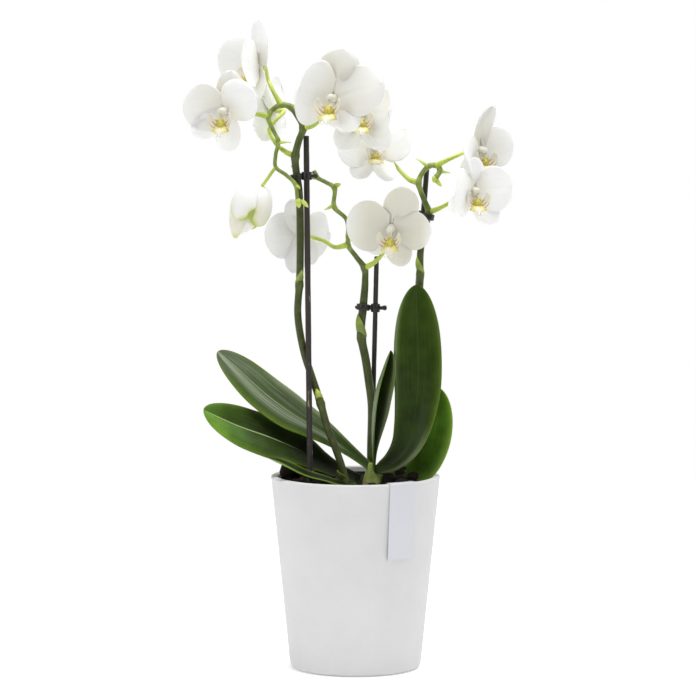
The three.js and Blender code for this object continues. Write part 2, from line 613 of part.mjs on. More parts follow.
function leafGeometry(leaf, grow = 0) {
  const spine = route(leaf.spine);
  const [footFace, tipFace] = leaf.face.map((v) => new THREE.Vector3(...v));
  return blade((t, s) => {
    const along = spine.getTangentAt(t);
    const side = along.clone().cross(footFace.clone().lerp(tipFace, t)).normalize();
    const face = side.clone().cross(along);
    const q = s * (leafHalfWidth(t, leaf) + grow);
    const fold = THREE.MathUtils.lerp(leaf.fold[0], leaf.fold[1], Math.min(1, t * 2));
    return spine.getPointAt(t).addScaledVector(side, q / Math.hypot(1, fold))
      .addScaledVector(face, (fold * Math.abs(q)) / Math.hypot(1, fold));
  }, 11, 4, LEAF + 2 * grow);
}

const crown = crownSolid();
const crownClear = crownSolid(GAP);
const leafSolids = [];
for (const [n, leaf] of Object.entries(LEAVES)) {
  let body = solid(leafGeometry(leaf)).subtract(crownClear);
  for (const other of leafSolids) body = body.subtract(other.clear);
  leafSolids.push({ name: `leaf_${n}`, body: largest(body), clear: solid(leafGeometry(leaf, GAP)) });
}
add("crown", crown, CROWN_LOOK);
for (const leaf of leafSolids) add(leaf.name, leaf.body, LEAF_LOOK);

// ---------------------------------------------------------------- the bark in the nursery pot
/** A heap of chips on a plain fill, kept inside the nursery pot, with plain holes for what stands in it. */
function barkSolid() {
  const random = seeded(11);
  const foot = POT_FLOOR + GAP + NURSERY_WALL + GAP;
  const band = NURSERY_RIM_HEIGHT - 6;
  const wall = (z) => nurseryRadius(z) - NURSERY_WALL - GAP;
  const fill = lathe([[0, foot], [wall(foot) - 4.5, foot], [wall(foot + 3), foot + 3],
    [wall(BARK_LEVEL), BARK_LEVEL], [0, BARK_LEVEL]], NURSERY_SIDES);
  const reach = lathe([[0, foot], [wall(foot) - 4.5, foot], [wall(foot + 3), foot + 3],
    [wall(band), band], [NURSERY_RIM_RADIUS - NURSERY_WALL - GAP, band + 2],
    [NURSERY_RIM_RADIUS - NURSERY_WALL - GAP, BARK_TOP], [0, BARK_TOP]], NURSERY_SIDES);
  const chips = [];
  for (let i = 0; i < BARK_CHIPS; i++) {
    const radius = BARK_SPREAD * Math.sqrt((i + 0.5) / BARK_CHIPS);
    const angle = i * GOLDEN_TURN;
    const x = radius * Math.cos(angle);
    const y = radius * Math.sin(angle);
    const heap = x < -35 ? 7 : 1;    // the bark is heaped up on the left
    const tilt = () => 1.2 * random() - 0.6;
    chips.push(solid(new THREE.BoxGeometry(13 + 7 * random(), 9 + 4 * random(), 4 + 2 * random())
      .rotateX(tilt()).rotateY(tilt()).rotateZ(2 * Math.PI * random())
      .translate(x, y, BARK_LEVEL + 1 + heap * random())));
  }
  const leaning = new THREE.BoxGeometry(4, 12, 20).rotateY(0.12).translate(-57.5, 6, 158.5);
  let body = Manifold.union([solid(fill), ...chips, solid(leaning)]).intersect(solid(reach));
  const standing = [crownSolid(GAP), ...leafSolids.map((leaf) => leaf.clear),
    ...Object.keys(STAKES).map((side) => solid(stakeGeometry(side, GAP))),
    ...Object.values(SPIKES).map((spike) => solid(stemGeometry(spike, GAP)))];
  for (const piece of standing) body = body.subtract(piece);
  return largest(body);
}
add("bark", barkSolid(), BARK_LOOK);

export default plant;
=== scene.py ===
"""A white moth orchid with three staked flower spikes in a round, tapered, matt off-white pot."""
import math
from itertools import accumulate

import bmesh
import bpy
import numpy as np
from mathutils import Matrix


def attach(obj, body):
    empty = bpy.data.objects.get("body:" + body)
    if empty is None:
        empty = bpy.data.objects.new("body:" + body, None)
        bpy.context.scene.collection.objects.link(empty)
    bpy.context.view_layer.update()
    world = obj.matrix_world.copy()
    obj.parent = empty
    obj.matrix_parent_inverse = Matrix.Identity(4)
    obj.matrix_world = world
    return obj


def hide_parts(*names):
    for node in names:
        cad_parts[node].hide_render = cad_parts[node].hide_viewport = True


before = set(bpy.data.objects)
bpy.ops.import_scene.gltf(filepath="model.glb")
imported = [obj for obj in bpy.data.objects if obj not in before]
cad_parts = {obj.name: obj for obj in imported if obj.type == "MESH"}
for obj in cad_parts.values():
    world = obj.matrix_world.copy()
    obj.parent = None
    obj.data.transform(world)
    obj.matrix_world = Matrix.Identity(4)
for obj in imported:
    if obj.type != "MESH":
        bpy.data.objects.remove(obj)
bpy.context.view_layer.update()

# ------------------------ the studio
# A long lens three metres off, a little above the pot and tipped down by five degrees. The plant stands
# on a round sheet of opal acrylic, under a large softbox, in a white room that is dimmer behind the lens.
MM, MERGE = 0.001, 2e-6                       # a millimetre, and how near doubles lie, in metres
VIEW_DISTANCE, VIEW_PITCH = 3000, math.radians(5)
VIEW_AIM = np.array([-6.2, 0, 265.8])        # the point in the middle of the view, in millimetres
LENS, SENSOR, VIEW_END = 187.9, 36, 60       # its length and film width in millimetres, its reach in metres
ROOM_FRONT, ROOM_BACK, ROOM_TOP = 0.08, 1.0, 0.5       # brightness behind the lens, behind the plant, above
SOFTBOXES = {"top": ((0.1, -0.1, 1.9), 1.4, 34), "left": ((-1.8, -1.6, 0.9), 1.0, 12),
             "right": ((1.6, -1.9, 0.8), 1.0, 7.5)}    # place and side in metres, power in watts
LIGHT_AIM = (0, 0, 0.3)
SHEET_RADIUS, SHEET_SIDES = 1.3, 96


def put(name, data):
    """A new object in the scene that shows the data."""
    made = bpy.data.objects.new(name, data)
    bpy.context.collection.objects.link(made)
    return made


def linear(srgb):
    """An sRGB hex value such as "dcdad4" as the linear colour with alpha that a shader reads."""
    channels = [int(srgb[i:i + 2], 16) / 255 for i in (0, 2, 4)]
    return [c / 12.92 if c <= 0.04045 else ((c + 0.055) / 1.055) ** 2.4 for c in channels] + [1.0]


def feed(node, values):
    """Gives a node's inputs their values, by name or number: an output is linked, hex text is a colour."""
    for key, value in values.items():
        if isinstance(value, bpy.types.NodeSocket):
            node.id_data.links.new(value, node.inputs[key])
        else:
            node.inputs[key].default_value = linear(value) if isinstance(value, str) else value


def add(tree, kind, *values, out=None, stops=(), **named):
    """Adds a node and returns its output `out`, or else its first. The values feed its inputs in their
    order, for a map range: value, from, to and the two results. A name in small letters is a setting,
    any other an input. Hex text makes a mix one of colours, and the stops are those of a colour ramp."""
    made = tree.nodes.new("ShaderNode" + kind)
    if kind == "Mix" and any(isinstance(value, str) for value in values):
        made.data_type = "RGBA"
    for name in filter(str.islower, named):
        setattr(made, name, named[name])
    for place, colour in stops:
        ramp = made.color_ramp.elements
        stop = ramp[0] if place == 0 else ramp[-1] if place == 1 else ramp.new(place)
        stop.color = linear(colour)
    in_use = [number for number, socket in enumerate(made.inputs) if socket.enabled]
    feed(made, dict(zip(in_use, values)))
    feed(made, {name: value for name, value in named.items() if not name.islower()})
    return made.outputs[out] if out else next((socket for socket in made.outputs if socket.enabled), None)


def new_material(name):
    """A named material with one shader. Returns the material, its tree and the shader."""
    made = bpy.data.materials.new(name)
    made.use_nodes = True
    return made, made.node_tree, made.node_tree.nodes["Principled BSDF"]


def circle(count):
    """That many angles, evenly round a circle."""
    return np.linspace(0, 2 * math.pi, count, endpoint=False)


camera = put("view", bpy.data.cameras.new("view"))
camera.data.lens = LENS
camera.data.sensor_width = SENSOR
camera.data.clip_end = VIEW_END
toward_viewer = np.array([0, -math.cos(VIEW_PITCH), math.sin(VIEW_PITCH)])
camera.location = (VIEW_AIM + VIEW_DISTANCE * toward_viewer) * MM
camera.rotation_euler = (math.pi / 2 - VIEW_PITCH, 0, 0)
bpy.context.scene.camera = camera
bpy.context.scene.view_settings.view_transform = "Standard"

world = bpy.data.worlds.new("white_room")
bpy.context.scene.world = world
world.use_nodes = True
room = world.node_tree
room.nodes.clear()
axes = add(room, "SeparateXYZ", add(room, "TexCoord", out="Generated")).node.outputs
depth = add(room, "MapRange", axes["Y"], -0.8, 0.35, ROOM_FRONT, ROOM_BACK, interpolation_type="SMOOTHSTEP")
height = add(room, "MapRange", axes["Z"], 0.2, 0.9, interpolation_type="SMOOTHSTEP")
lighting = add(room, "Background", "ffffff", add(room, "Mix", height, depth, ROOM_TOP))
backdrop = add(room, "Background", "ffffff", 1.0)
seen = add(room, "LightPath", out="Is Camera Ray")
add(room, "OutputWorld", add(room, "MixShader", seen, lighting, backdrop))

for side, (place, size, power) in SOFTBOXES.items():
    lamp = put(f"softbox_{side}", bpy.data.lights.new(f"softbox_{side}", "AREA"))
    lamp.data.shape = "SQUARE"
    lamp.data.size = size
    lamp.data.energy = power
    lamp.location = place
    ahead = np.subtract(LIGHT_AIM, place)
    lamp.rotation_euler = (math.atan2(math.hypot(*ahead[:2]), -ahead[2]), 0, math.atan2(-ahead[0], ahead[1]))

# Opal acrylic sheet, lit a little from below: so pale that only the softest shade shows on it.
opal_acrylic, tree, shader = new_material("opal_acrylic")
pale = add(tree, "Mix", add(tree, "TexNoise", Scale=60.0, Detail=3.0), "fafafa", "fcfcfc")
feed(shader, {"Base Color": pale, "Emission Color": pale, "Emission Strength": 0.2, "Roughness": 0.85,
              "Specular IOR Level": 0.2})

turn = circle(SHEET_SIDES)
sheet_mesh = bpy.data.meshes.new("sweep")
sheet_mesh.from_pydata((SHEET_RADIUS * np.stack([np.cos(turn), np.sin(turn), 0 * turn], 1)).tolist(), [],
                       [list(range(SHEET_SIDES))])
sheet_mesh.materials.append(opal_acrylic)
put("sweep", sheet_mesh)


# ------------------------ the pot
# A thick-walled cup of mineral-filled plastic, rotation moulded in one piece, with a rounded rim and
# foot. Its skin is matt and a little clouded, like unglazed stoneware.
POT_HEIGHT, POT_RIM, POT_FOOT, POT_WALL, POT_FLOOR = 160, 70, 54, 6, 6.5
POT_TAPER = (POT_RIM - POT_FOOT) / POT_HEIGHT
POT_EDGE = 1.5                                # the rounding of its rim


def arc(centre, radius, start, end, count=8):
    """Points [r, z] on a circle about centre, from the angle start to the angle end in degrees."""
    angle = np.radians(np.linspace(start, end, count))
    return np.stack([centre[0] + radius * np.cos(angle), centre[1] + radius * np.sin(angle)], 1)


def lathe(profile, sides):
    """A profile of [r, z] points turned about Z: x = r cos a, y = r sin a."""
    profile = np.asarray(profile, float)
    angle = circle(sides)
    r, z = profile[:, :1], profile[:, 1:]
    return np.stack([r * np.cos(angle), r * np.sin(angle), z + 0 * angle], 2)


def skin(points, uv=0.0, **marks):
    """A grid of points in millimetres that wraps in its columns, with a UV and its marks at each point."""
    grid = points.shape[:2]
    return {"points": points, "uv": np.broadcast_to(uv, (*grid, 2)),
            **{key: np.broadcast_to(value, grid) for key, value in marks.items()}}


def piece(name, skins, finish, node):
    """One object from several skins: grid quads between neighbouring rows and columns, then their
    doubles are merged and their faces turned outwards. It rides on the plant for the given node."""
    faces, offset = [], 0
    for s in skins:
        rows, columns = s["points"].shape[:2]
        index = np.arange(rows * columns).reshape(rows, columns) + offset
        index = np.hstack([index, index[:, :1]])
        corners = index[:-1, :-1], index[:-1, 1:], index[1:, 1:], index[1:, :-1]
        faces.append(np.stack(corners, 2).reshape(-1, 4))
        offset += rows * columns
    faces = np.vstack(faces)

    def values(key, width):
        return np.vstack([s.get(key, np.zeros(s["points"].shape[:2])).reshape(-1, width) for s in skins])

    mesh = bpy.data.meshes.new(name)
    mesh.from_pydata((values("points", 3) * MM).tolist(), [], faces.tolist())
    for key in sorted(set().union(*skins) - {"points", "uv"}):
        mesh.attributes.new(key, "FLOAT", "POINT").data.foreach_set("value", values(key, 1).ravel())
    mesh.uv_layers.new(name="UVMap").data.foreach_set("uv", values("uv", 2)[faces.ravel()].ravel())
    shape = bmesh.new()
    shape.from_mesh(mesh)
    bmesh.ops.remove_doubles(shape, verts=shape.verts, dist=MERGE)
    bmesh.ops.recalc_face_normals(shape, faces=shape.faces)
    shape.to_mesh(mesh)
    shape.free()
    mesh.shade_smooth()
    mesh.materials.append(finish)
    made = put(name, mesh)
    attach(made, "root")
    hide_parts(node)
    return made


# Mineral-filled plastic with a matt moulded skin: no gloss, faint cloudy patches a few centimetres wide,
# and a grit that only shows against the light.
mineral_plastic, tree, shader = new_material("mineral_filled_plastic")
place = add(tree, "TexCoord", out="Object")
cloud = add(tree, "MapRange", add(tree, "TexNoise", place, 28.0, 4.0, 0.6), 0.35, 0.68)
fleck = add(tree, "MapRange", add(tree, "TexNoise", place, 420.0, 2.0), 0.66, 0.8, 0.0, 0.25)
tone = add(tree, "Mix", fleck, add(tree, "Mix", cloud, "cecece", "d2d2d2"), "bfbfbd")
grit = add(tree, "TexNoise", place, 1400.0, 2.0)
bump = add(tree, "Bump", Height=grit, Strength=0.12, Distance=0.0003)
feed(shader, {"Base Color": tone, "Normal": bump, "Roughness": 0.68, "Specular IOR Level": 0.35})

inner_rim = POT_RIM - POT_WALL
inner_foot = inner_rim - POT_TAPER * (POT_HEIGHT - POT_FLOOR)
edge_height = POT_HEIGHT - POT_EDGE
pot_profile = np.vstack([
    [[0, 0], [20, 0], [POT_FOOT - 12, 0]],
    arc((POT_FOOT - 4.8, 5), 5, -90, -4, 14),
    np.linspace([POT_FOOT + 0.9, 9], [POT_RIM - 0.2, POT_HEIGHT - 2], 24),
    arc((POT_RIM - POT_EDGE, edge_height), POT_EDGE, 0, 90),
    arc((inner_rim + POT_EDGE, edge_height), POT_EDGE, 90, 180),
    np.linspace([inner_rim - 0.4, POT_HEIGHT - 6], [inner_foot + 0.6, POT_FLOOR + 6], 16),
    arc((inner_foot - 4.5, POT_FLOOR + 5), 5, -10, -90),
    [[20, POT_FLOOR], [0, POT_FLOOR]]])
piece("pot_body", [skin(lathe(pot_profile, 160))], mineral_plastic, "pot")


# ------------------------ the nursery pot
# The grower's thin dark pot of thermoformed polypropylene, dropped into the outer one. Only its rolled
# rim shows, just inside the wall.
NURSERY_RIM, NURSERY_TOP, NURSERY_WALL, NURSERY_ROLL, GAP = 62, 156, 1.2, 0.6, 0.3
NURSERY_NECK, NURSERY_BAND = NURSERY_RIM - 2, NURSERY_TOP - 6     # radius and height where the rim starts

# Black polypropylene, thermoformed: satin, with a faint horizontal draw line here and there.
black_plastic, tree, shader = new_material("thermoformed_polypropylene")
stretch = add(tree, "Mapping", add(tree, "TexCoord", out="Object"), Scale=(20.0, 20.0, 400.0))
draw = add(tree, "TexNoise", stretch, 1.0, 3.0)
bump = add(tree, "Bump", Height=draw, Strength=0.2, Distance=0.0004)
feed(shader, {"Base Color": add(tree, "Mix", draw, "141416", "26262a"), "Normal": bump, "Roughness": 0.42})

low = POT_FLOOR + GAP
foot = NURSERY_NECK - POT_TAPER * (NURSERY_BAND - low)
nursery_profile = np.vstack([
    [[0, low], [foot - 6, low]], arc((foot - 2.5, low + 2.5), 2.5, -90, 0),
    [[NURSERY_NECK - 0.2, NURSERY_BAND - 0.8], [NURSERY_NECK + 0.6, NURSERY_BAND],
     [NURSERY_RIM - 0.4, NURSERY_BAND], [NURSERY_RIM, NURSERY_BAND + 0.6]],
    arc((NURSERY_RIM - NURSERY_ROLL, NURSERY_TOP - NURSERY_ROLL), NURSERY_ROLL, 0, 180),
    [[NURSERY_RIM - NURSERY_WALL, NURSERY_BAND + NURSERY_WALL], [NURSERY_NECK - NURSERY_WALL, NURSERY_BAND],
     [foot + 3 * POT_TAPER - NURSERY_WALL, low + 3],
     [foot - 4, low + NURSERY_WALL], [0, low + NURSERY_WALL]]])
piece("nursery_pot_body", [skin(lathe(nursery_profile, 96))], black_plastic, "nursery_pot")


# ------------------------ the bark
# Pine bark in chips of one to two centimetres, tipped loose into the nursery pot round the roots. It is
# heaped at both sides, where larger pieces stand on edge against the wall.
BARK_LEVEL, BARK_SPREAD, BARK_REACH, GOLDEN_TURN = 150, 57, 55, 2.39996
BED_CHIPS, TOP_CHIPS = 90, 70
BARK_SIZES = (9, 18), (7, 12), (4, 7)
LEANING = np.array([[-56, 2, 163.2, 12.5, 12, 13.5], [-44, 11, 159, 14, 10, 19], [-30, 17, 156, 13, 10, 16],
                    [-48, 24, 156, 12, 10, 15], [38, 8, 158, 13, 9, 18], [27, -3, 155.5, 10, 8, 14],
                    [48, 3, 155, 11, 9, 15]])          # the places and sizes of the pieces on edge
chance = np.random.default_rng(11)


def draws(count, *ranges):
    """Arrays of that many random numbers, one array for each range (low, high)."""
    return [chance.uniform(low, high, count) for low, high in ranges]


def about(axis, angle):
    """Matrices that turn by each angle about X, Y or Z, the axes 0, 1 and 2."""
    made = np.zeros((*np.shape(angle), 3, 3))
    i, j = (axis + 1) % 3, (axis + 2) % 3
    made[..., axis, axis] = 1
    made[..., i, i] = made[..., j, j] = np.cos(angle)
    made[..., j, i] = np.sin(angle)
    made[..., i, j] = -np.sin(angle)
    return made


def chips(centres, sizes, turns, palest=1.0):
    """Small broken blocks: a superellipsoid of nine by five points each, |x|^4 + |y|^4 + |z|^4 = 1,
    stretched, roughened by up to a seventh, turned by Rz Ry Rx and put at its centre."""
    count = len(centres)
    tip, around = np.meshgrid(np.linspace(-math.pi / 2, math.pi / 2, 5), circle(9), indexing="ij")
    ball = np.stack([np.cos(tip) * np.cos(around), np.cos(tip) * np.sin(around), np.sin(tip)], 2)
    block = ball / (np.abs(ball) ** 4).sum(2, keepdims=True) ** 0.25
    rough = 1 + chance.uniform(-0.14, 0.14, (count, *block.shape))
    rough[:, [0, -1]] = rough[:, [0, -1], :1]
    turned = about(2, turns[2]) @ about(1, turns[1]) @ about(0, turns[0])
    block = np.einsum("nij,nrcj->nrci", turned, block * rough * sizes[:, None, None] / 2)
    return [skin(grid + centre, tint=value)
            for grid, centre, value in zip(block, centres, chance.uniform(0, palest, count))]


def heap(x, y):
    """How far the bark is heaped up: a rounded bump of exp(-(dx / a)^2 - (dy / b)^2) at each side."""
    return (11 * np.exp(-((x + 47) / 17) ** 2 - ((y - 12) / 22) ** 2)
            + 10 * np.exp(-((x - 42) / 13) ** 2 - ((y - 10) / 18) ** 2))


def laid(count, level, spread):
    """Places of chips: a sunflower's spiral of radii sqrt((i + 0.5) / n), shaken a little."""
    i = np.arange(count)
    r = spread * np.sqrt((i + 0.5) / count)
    shake_x, shake_y, rise = draws(count, (-1.5, 1.5), (-1.5, 1.5), (0, 1))
    x, y = r * np.cos(i * GOLDEN_TURN) + shake_x, r * np.sin(i * GOLDEN_TURN) + shake_y
    keep = np.minimum(1, BARK_REACH / np.hypot(x, y))
    return np.stack([x * keep, y * keep, level + heap(x * keep, y * keep) + rise], 1)


# Pine bark: dark red-brown corky plates, matt and dusty, with paler broken edges on some of the chips.
pine_bark, tree, shader = new_material("pine_bark")
place = add(tree, "TexCoord", out="Object")
tint = add(tree, "Attribute", out="Fac", attribute_name="tint")
cork = add(tree, "TexNoise", place, 260.0, 6.0, 0.65)
layer = add(tree, "TexWave", place, 90.0, 6.0, 3.0, out="Fac", bands_direction="Z")
rind = add(tree, "Mix", cork, add(tree, "Mix", tint, "0d0a08", "1f1712"), "251c16")
tone = add(tree, "Mix", add(tree, "MapRange", tint, 0.93, 0.97, 0.0, 0.45), rind, "a98e6c")
bump = add(tree, "Bump", Height=add(tree, "Mix", 0.4, cork, layer), Strength=0.8, Distance=0.001)
feed(shader, {"Base Color": tone, "Normal": bump, "Roughness": 0.9, "Specular IOR Level": 0.25})

places = np.vstack([laid(BED_CHIPS, BARK_LEVEL - 3, BARK_SPREAD),
                    laid(TOP_CHIPS, BARK_LEVEL + 1, BARK_SPREAD - 3)])
sizes = np.stack(draws(len(places), *BARK_SIZES), 1)
turns = draws(len(places), (-0.5, 0.5), (-0.5, 0.5), (0, 2 * math.pi))
on_edge = draws(len(LEANING), (-0.15, 0.15), (-0.15, 0.15), (-0.4, 0.4))
# the pieces on edge are held to the darker tints, with no pale broken edges: painted shade, as they stand in
# the shadow of the leaves
leaning_chips = chips(LEANING[:, :3], LEANING[:, 3:], on_edge, 0.4)
bed = lathe(np.vstack([[[0, 60], [44, 60], [47, 62], [BARK_SPREAD, BARK_LEVEL - 3]],
                       np.linspace([BARK_SPREAD - 2, BARK_LEVEL - 1], [0, BARK_LEVEL - 1], 16)]), 48)
bed[4:, :, 2] += 0.8 * heap(bed[4:, :, 0], bed[4:, :, 1])
piece("bark_chips", [skin(bed, tint=0.1), *leaning_chips, *chips(places, sizes, turns)],
      pine_bark, "bark")


# ------------------------ the stakes
# Three thin split canes, stained almost black and pushed into the bark. Handling has worn the stain
# through here and there, and the cut ends are slightly rounded.
STAKES = {"left": ([-36.5, -19.5, 60], [-40.5, -2.5, 441], 2.4),
          "middle": ([11, 26, 60], [17.5, 11, 341], 2.0),
          "right": ([35, 17, 90], [59, 16, 414], 2.2)}       # foot, head and radius
CURVE_STEPS = 24                                             # between two points of a route


def unit(vectors):
    return vectors / np.maximum(np.linalg.norm(vectors, axis=-1, keepdims=True), 1e-9)


def sampled(table, places, at):
    """The rows of a table, which belong to the places, read off between them."""
    return np.stack([np.interp(at, places, column) for column in table.T], 1)


def edged(values):
    """The values with their first and last doubled, which closes or squares the ends there."""
    return np.r_[values[0], values, values[-1]]


def route(points, count):
    """A smooth curve through the points, centripetal Catmull-Rom with its ends carried on straight, as
    `count` points evenly spaced along its length."""
    p = np.asarray(points, float)
    p = np.vstack([2 * p[0] - p[1], p, 2 * p[-1] - p[-2]])
    step = np.linalg.norm(np.diff(p, axis=0), axis=1)[:, None] ** 0.5
    d0, d1, d2 = step[:-2], step[1:-1], step[2:]
    a, b, c, d = p[:-3], p[1:-2], p[2:-1], p[3:]
    m1 = d1 * ((b - a) / d0 - (c - a) / (d0 + d1) + (c - b) / d1)
    m2 = d1 * ((c - b) / d1 - (d - b) / (d1 + d2) + (d - c) / d2)
    u = np.linspace(0, 1, CURVE_STEPS, endpoint=False)[None, :, None]
    curve = (b[:, None] + u * m1[:, None] + u ** 2 * (3 * (c - b) - 2 * m1 - m2)[:, None]
             + u ** 3 * (2 * (b - c) + m1 + m2)[:, None])
    curve = np.vstack([curve.reshape(-1, 3), p[-2:-1]])
    length = np.r_[0, np.cumsum(np.linalg.norm(np.diff(curve, axis=0), axis=1))]
    return sampled(curve, length, np.linspace(0, length[-1], count))


def tube(path, radius, sides=12, **marks):
    """Rings round a path: its side vector is carried along without twist, the other is its cross product
    with the path, and a ring is path + radius (cos a side + sin a other). Both ends close to a point."""
    path = np.asarray(path, float)
    along = unit(np.gradient(path, axis=0))
    first = unit(np.cross(along[0], [0.31, 0.52, 0.79]))
    side = np.array(list(accumulate(along[1:], lambda n, t: unit(n - t * (n @ t)), initial=first)))
    other = np.cross(along, side)
    angle = circle(sides)[:, None]
    rows = edged(np.arange(len(path)))
    reach = np.broadcast_to(radius, len(path))[rows]
    reach[[0, -1]] = 0
    ring = side[rows, None] * np.cos(angle) + other[rows, None] * np.sin(angle)
    spread = {key: np.broadcast_to(value, len(path))[rows][:, None] for key, value in marks.items()}
    return skin(path[rows, None] + ring * reach[:, None, None], **spread)


# Split bamboo cane, dyed near-black: long fibres along it, a dull surface, and pale scuffs where the dye
# has gone.
dyed_cane, tree, shader = new_material("dyed_bamboo_cane")
place = add(tree, "TexCoord", out="Object")
fibre = add(tree, "TexNoise", add(tree, "Mapping", place, Scale=(900.0, 900.0, 40.0)), 1.0, 4.0)
scuff = add(tree, "TexNoise", add(tree, "Mapping", place, Scale=(300.0, 300.0, 90.0)), 1.0, 3.0)
worn = add(tree, "MapRange", scuff, 0.66, 0.76, 0.0, 0.55)
tone = add(tree, "Mix", worn, add(tree, "Mix", fibre, "100e0c", "352e2a"), "b5a48c")
bump = add(tree, "Bump", Height=fibre, Strength=0.5, Distance=0.0004)
feed(shader, {"Base Color": tone, "Normal": bump, "Roughness": 0.6})

for side, (foot, head, thickness) in STAKES.items():
    line = np.linspace(foot, head, 90)
    line = np.vstack([line[:-1], line[-1] - [0, 0, 0.6], line[-1] - [0, 0, 0.2], line[-1]])
    i = np.arange(len(line))
    wobble = 1 + 0.03 * np.sin(0.7 * i) * np.sin(0.23 * i)
    wobble[-3:] = [0.96, 0.84, 0.6]
    piece(f"cane_{side}", [tube(line, thickness * wobble, 14)], dyed_cane, f"stake_{side}")


# ------------------------ the crown
# The orchid's short stem, wrapped in the sheathing feet of its leaves. The youngest sheaths are still
# yellow-green and stand up in pointed folds between the leaves.
CROWN_X, CROWN_FOOT, CROWN_TOP, SHEATH_ROWS = 14, 140, 168, 24
CROWN_PROFILE = [[0, CROWN_FOOT], [10, CROWN_FOOT], [11, CROWN_FOOT + 2], [10.4, CROWN_FOOT + 8],
                 [8, CROWN_TOP - 12], [5, CROWN_TOP - 3], [2, CROWN_TOP + 2], [0, CROWN_TOP + 2.6]]
SHEATHS = ((0, -4.2, -2.5, 171, [0, -1]), (-5, 0.5, 0, 160, [-0.9, -0.4]), (5, 0.5, 1.5, 157, [0.9, -0.4]),
           (0.5, 4.2, 1, 167, [0.1, 1]))               # place x, y, lean, top and the way each one faces


def shell(middle, half, s, t, **marks):
    """A closed sheet: the middle grid moved to either side along its normal, the cross product of its
    gradients across and along, by half of its thickness, and both faces joined as one grid that wraps.
    The thickness ends in a point all round. The UV is (s, t), and the mark `back` is 1 behind."""
    normal = unit(np.cross(np.gradient(middle, axis=1), np.gradient(middle, axis=0)))
    normal[[0, -1]] = normal[[1, -2]]
    half = np.broadcast_to(half, s.shape).copy()
    half[[0, -1]] = half[:, [0, -1]] = 0
    count = s.shape[1]
    columns = np.r_[:count, count - 2:0:-1]
    behind = np.arange(len(columns)) >= count
    points = (middle + normal * half[..., None])[:, columns]
    points[:, behind] = (middle - normal * half[..., None])[:, columns[behind]]
    return skin(points, np.stack([s * 0.5 + 0.5, t], 2)[:, columns], back=behind * 1.0,
                **{key: np.broadcast_to(value, s.shape)[:, columns] for key, value in marks.items()})


def cupped(path, face, half_width, bend, thickness=0.8, columns=15, **marks):
    """A sheet rolled round a path: across it, it is an arc of radius `bend` that curls away from `face`:
    path + side R sin(s w / R) - face R (1 - cos(s w / R))."""
    side = unit(np.cross(unit(np.gradient(path, axis=0)), np.broadcast_to(face, path.shape)))
    out = np.cross(side, unit(np.gradient(path, axis=0)))
    s, t = np.meshgrid(np.linspace(-1, 1, columns), np.linspace(0, 1, len(path)))
    bend = np.broadcast_to(bend, len(path))[:, None]
    turn = s * half_width[:, None] / bend
    middle = (path[:, None] + side[:, None] * (bend * np.sin(turn))[..., None]
              - out[:, None] * (bend * (1 - np.cos(turn)))[..., None])
    return shell(middle, thickness / 2 * np.sqrt(1 - s ** 4), s, t,
                 **{key: value[:, None] if np.ndim(value) == 1 else value for key, value in marks.items()})


# Green plant tissue under a thin waxy cuticle, from dark olive where it is old to lime where it is
# young, with fine fibres along it and a soft shine.
green_stem, tree, shader = new_material("green_stem_cuticle")
place = add(tree, "TexCoord", out="Object")
young = add(tree, "Attribute", out="Fac", attribute_name="young")
mottle = add(tree, "MapRange", add(tree, "TexNoise", place, 140.0, 3.0), 0.3, 0.7, -0.09, 0.09)
green = add(tree, "ValToRGB", add(tree, "Math", young, mottle),
            stops=((0, "373e15"), (0.3, "556328"), (0.55, "8a9c48"), (0.8, "b9c851"), (1, "d6dd80")))
fibre = add(tree, "TexNoise", add(tree, "Mapping", place, Scale=(1200.0, 1200.0, 60.0)), 1.0, 2.0)
bump = add(tree, "Bump", Height=fibre, Strength=0.25, Distance=0.0003)
feed(shader, {"Base Color": green, "Normal": bump, "Roughness": 0.42, "Specular IOR Level": 0.4,
              "Subsurface Weight": 0.12, "Subsurface Radius": (0.6, 1.0, 0.3), "Subsurface Scale": 0.002})

crown_core = lathe(CROWN_PROFILE, 32) * [1, 0.75, 1] + [CROWN_X, 0, 0]
sheaths = []
t = np.linspace(0, 1, SHEATH_ROWS)
for dx, dy, lean, top, faces in SHEATHS:
    spine = route([[CROWN_X + dx * 1.3, dy * 1.25, 143], [CROWN_X + dx * 1.25, dy * 1.2, 152],
                   [CROWN_X + dx + lean * 0.4, dy * 0.9, 161], [CROWN_X + dx + lean, dy * 0.3, top]],
                  SHEATH_ROWS)
    sheaths.append(cupped(spine, [*faces, 0.25], 9.5 * (1 - t) ** 0.75 + 0.2, 6.5 - 2.5 * t, 1.2,
                          young=0.42 + 0.2 * t))
piece("crown_sheaths", [skin(crown_core, young=0.48), *sheaths], green_stem, "crown")
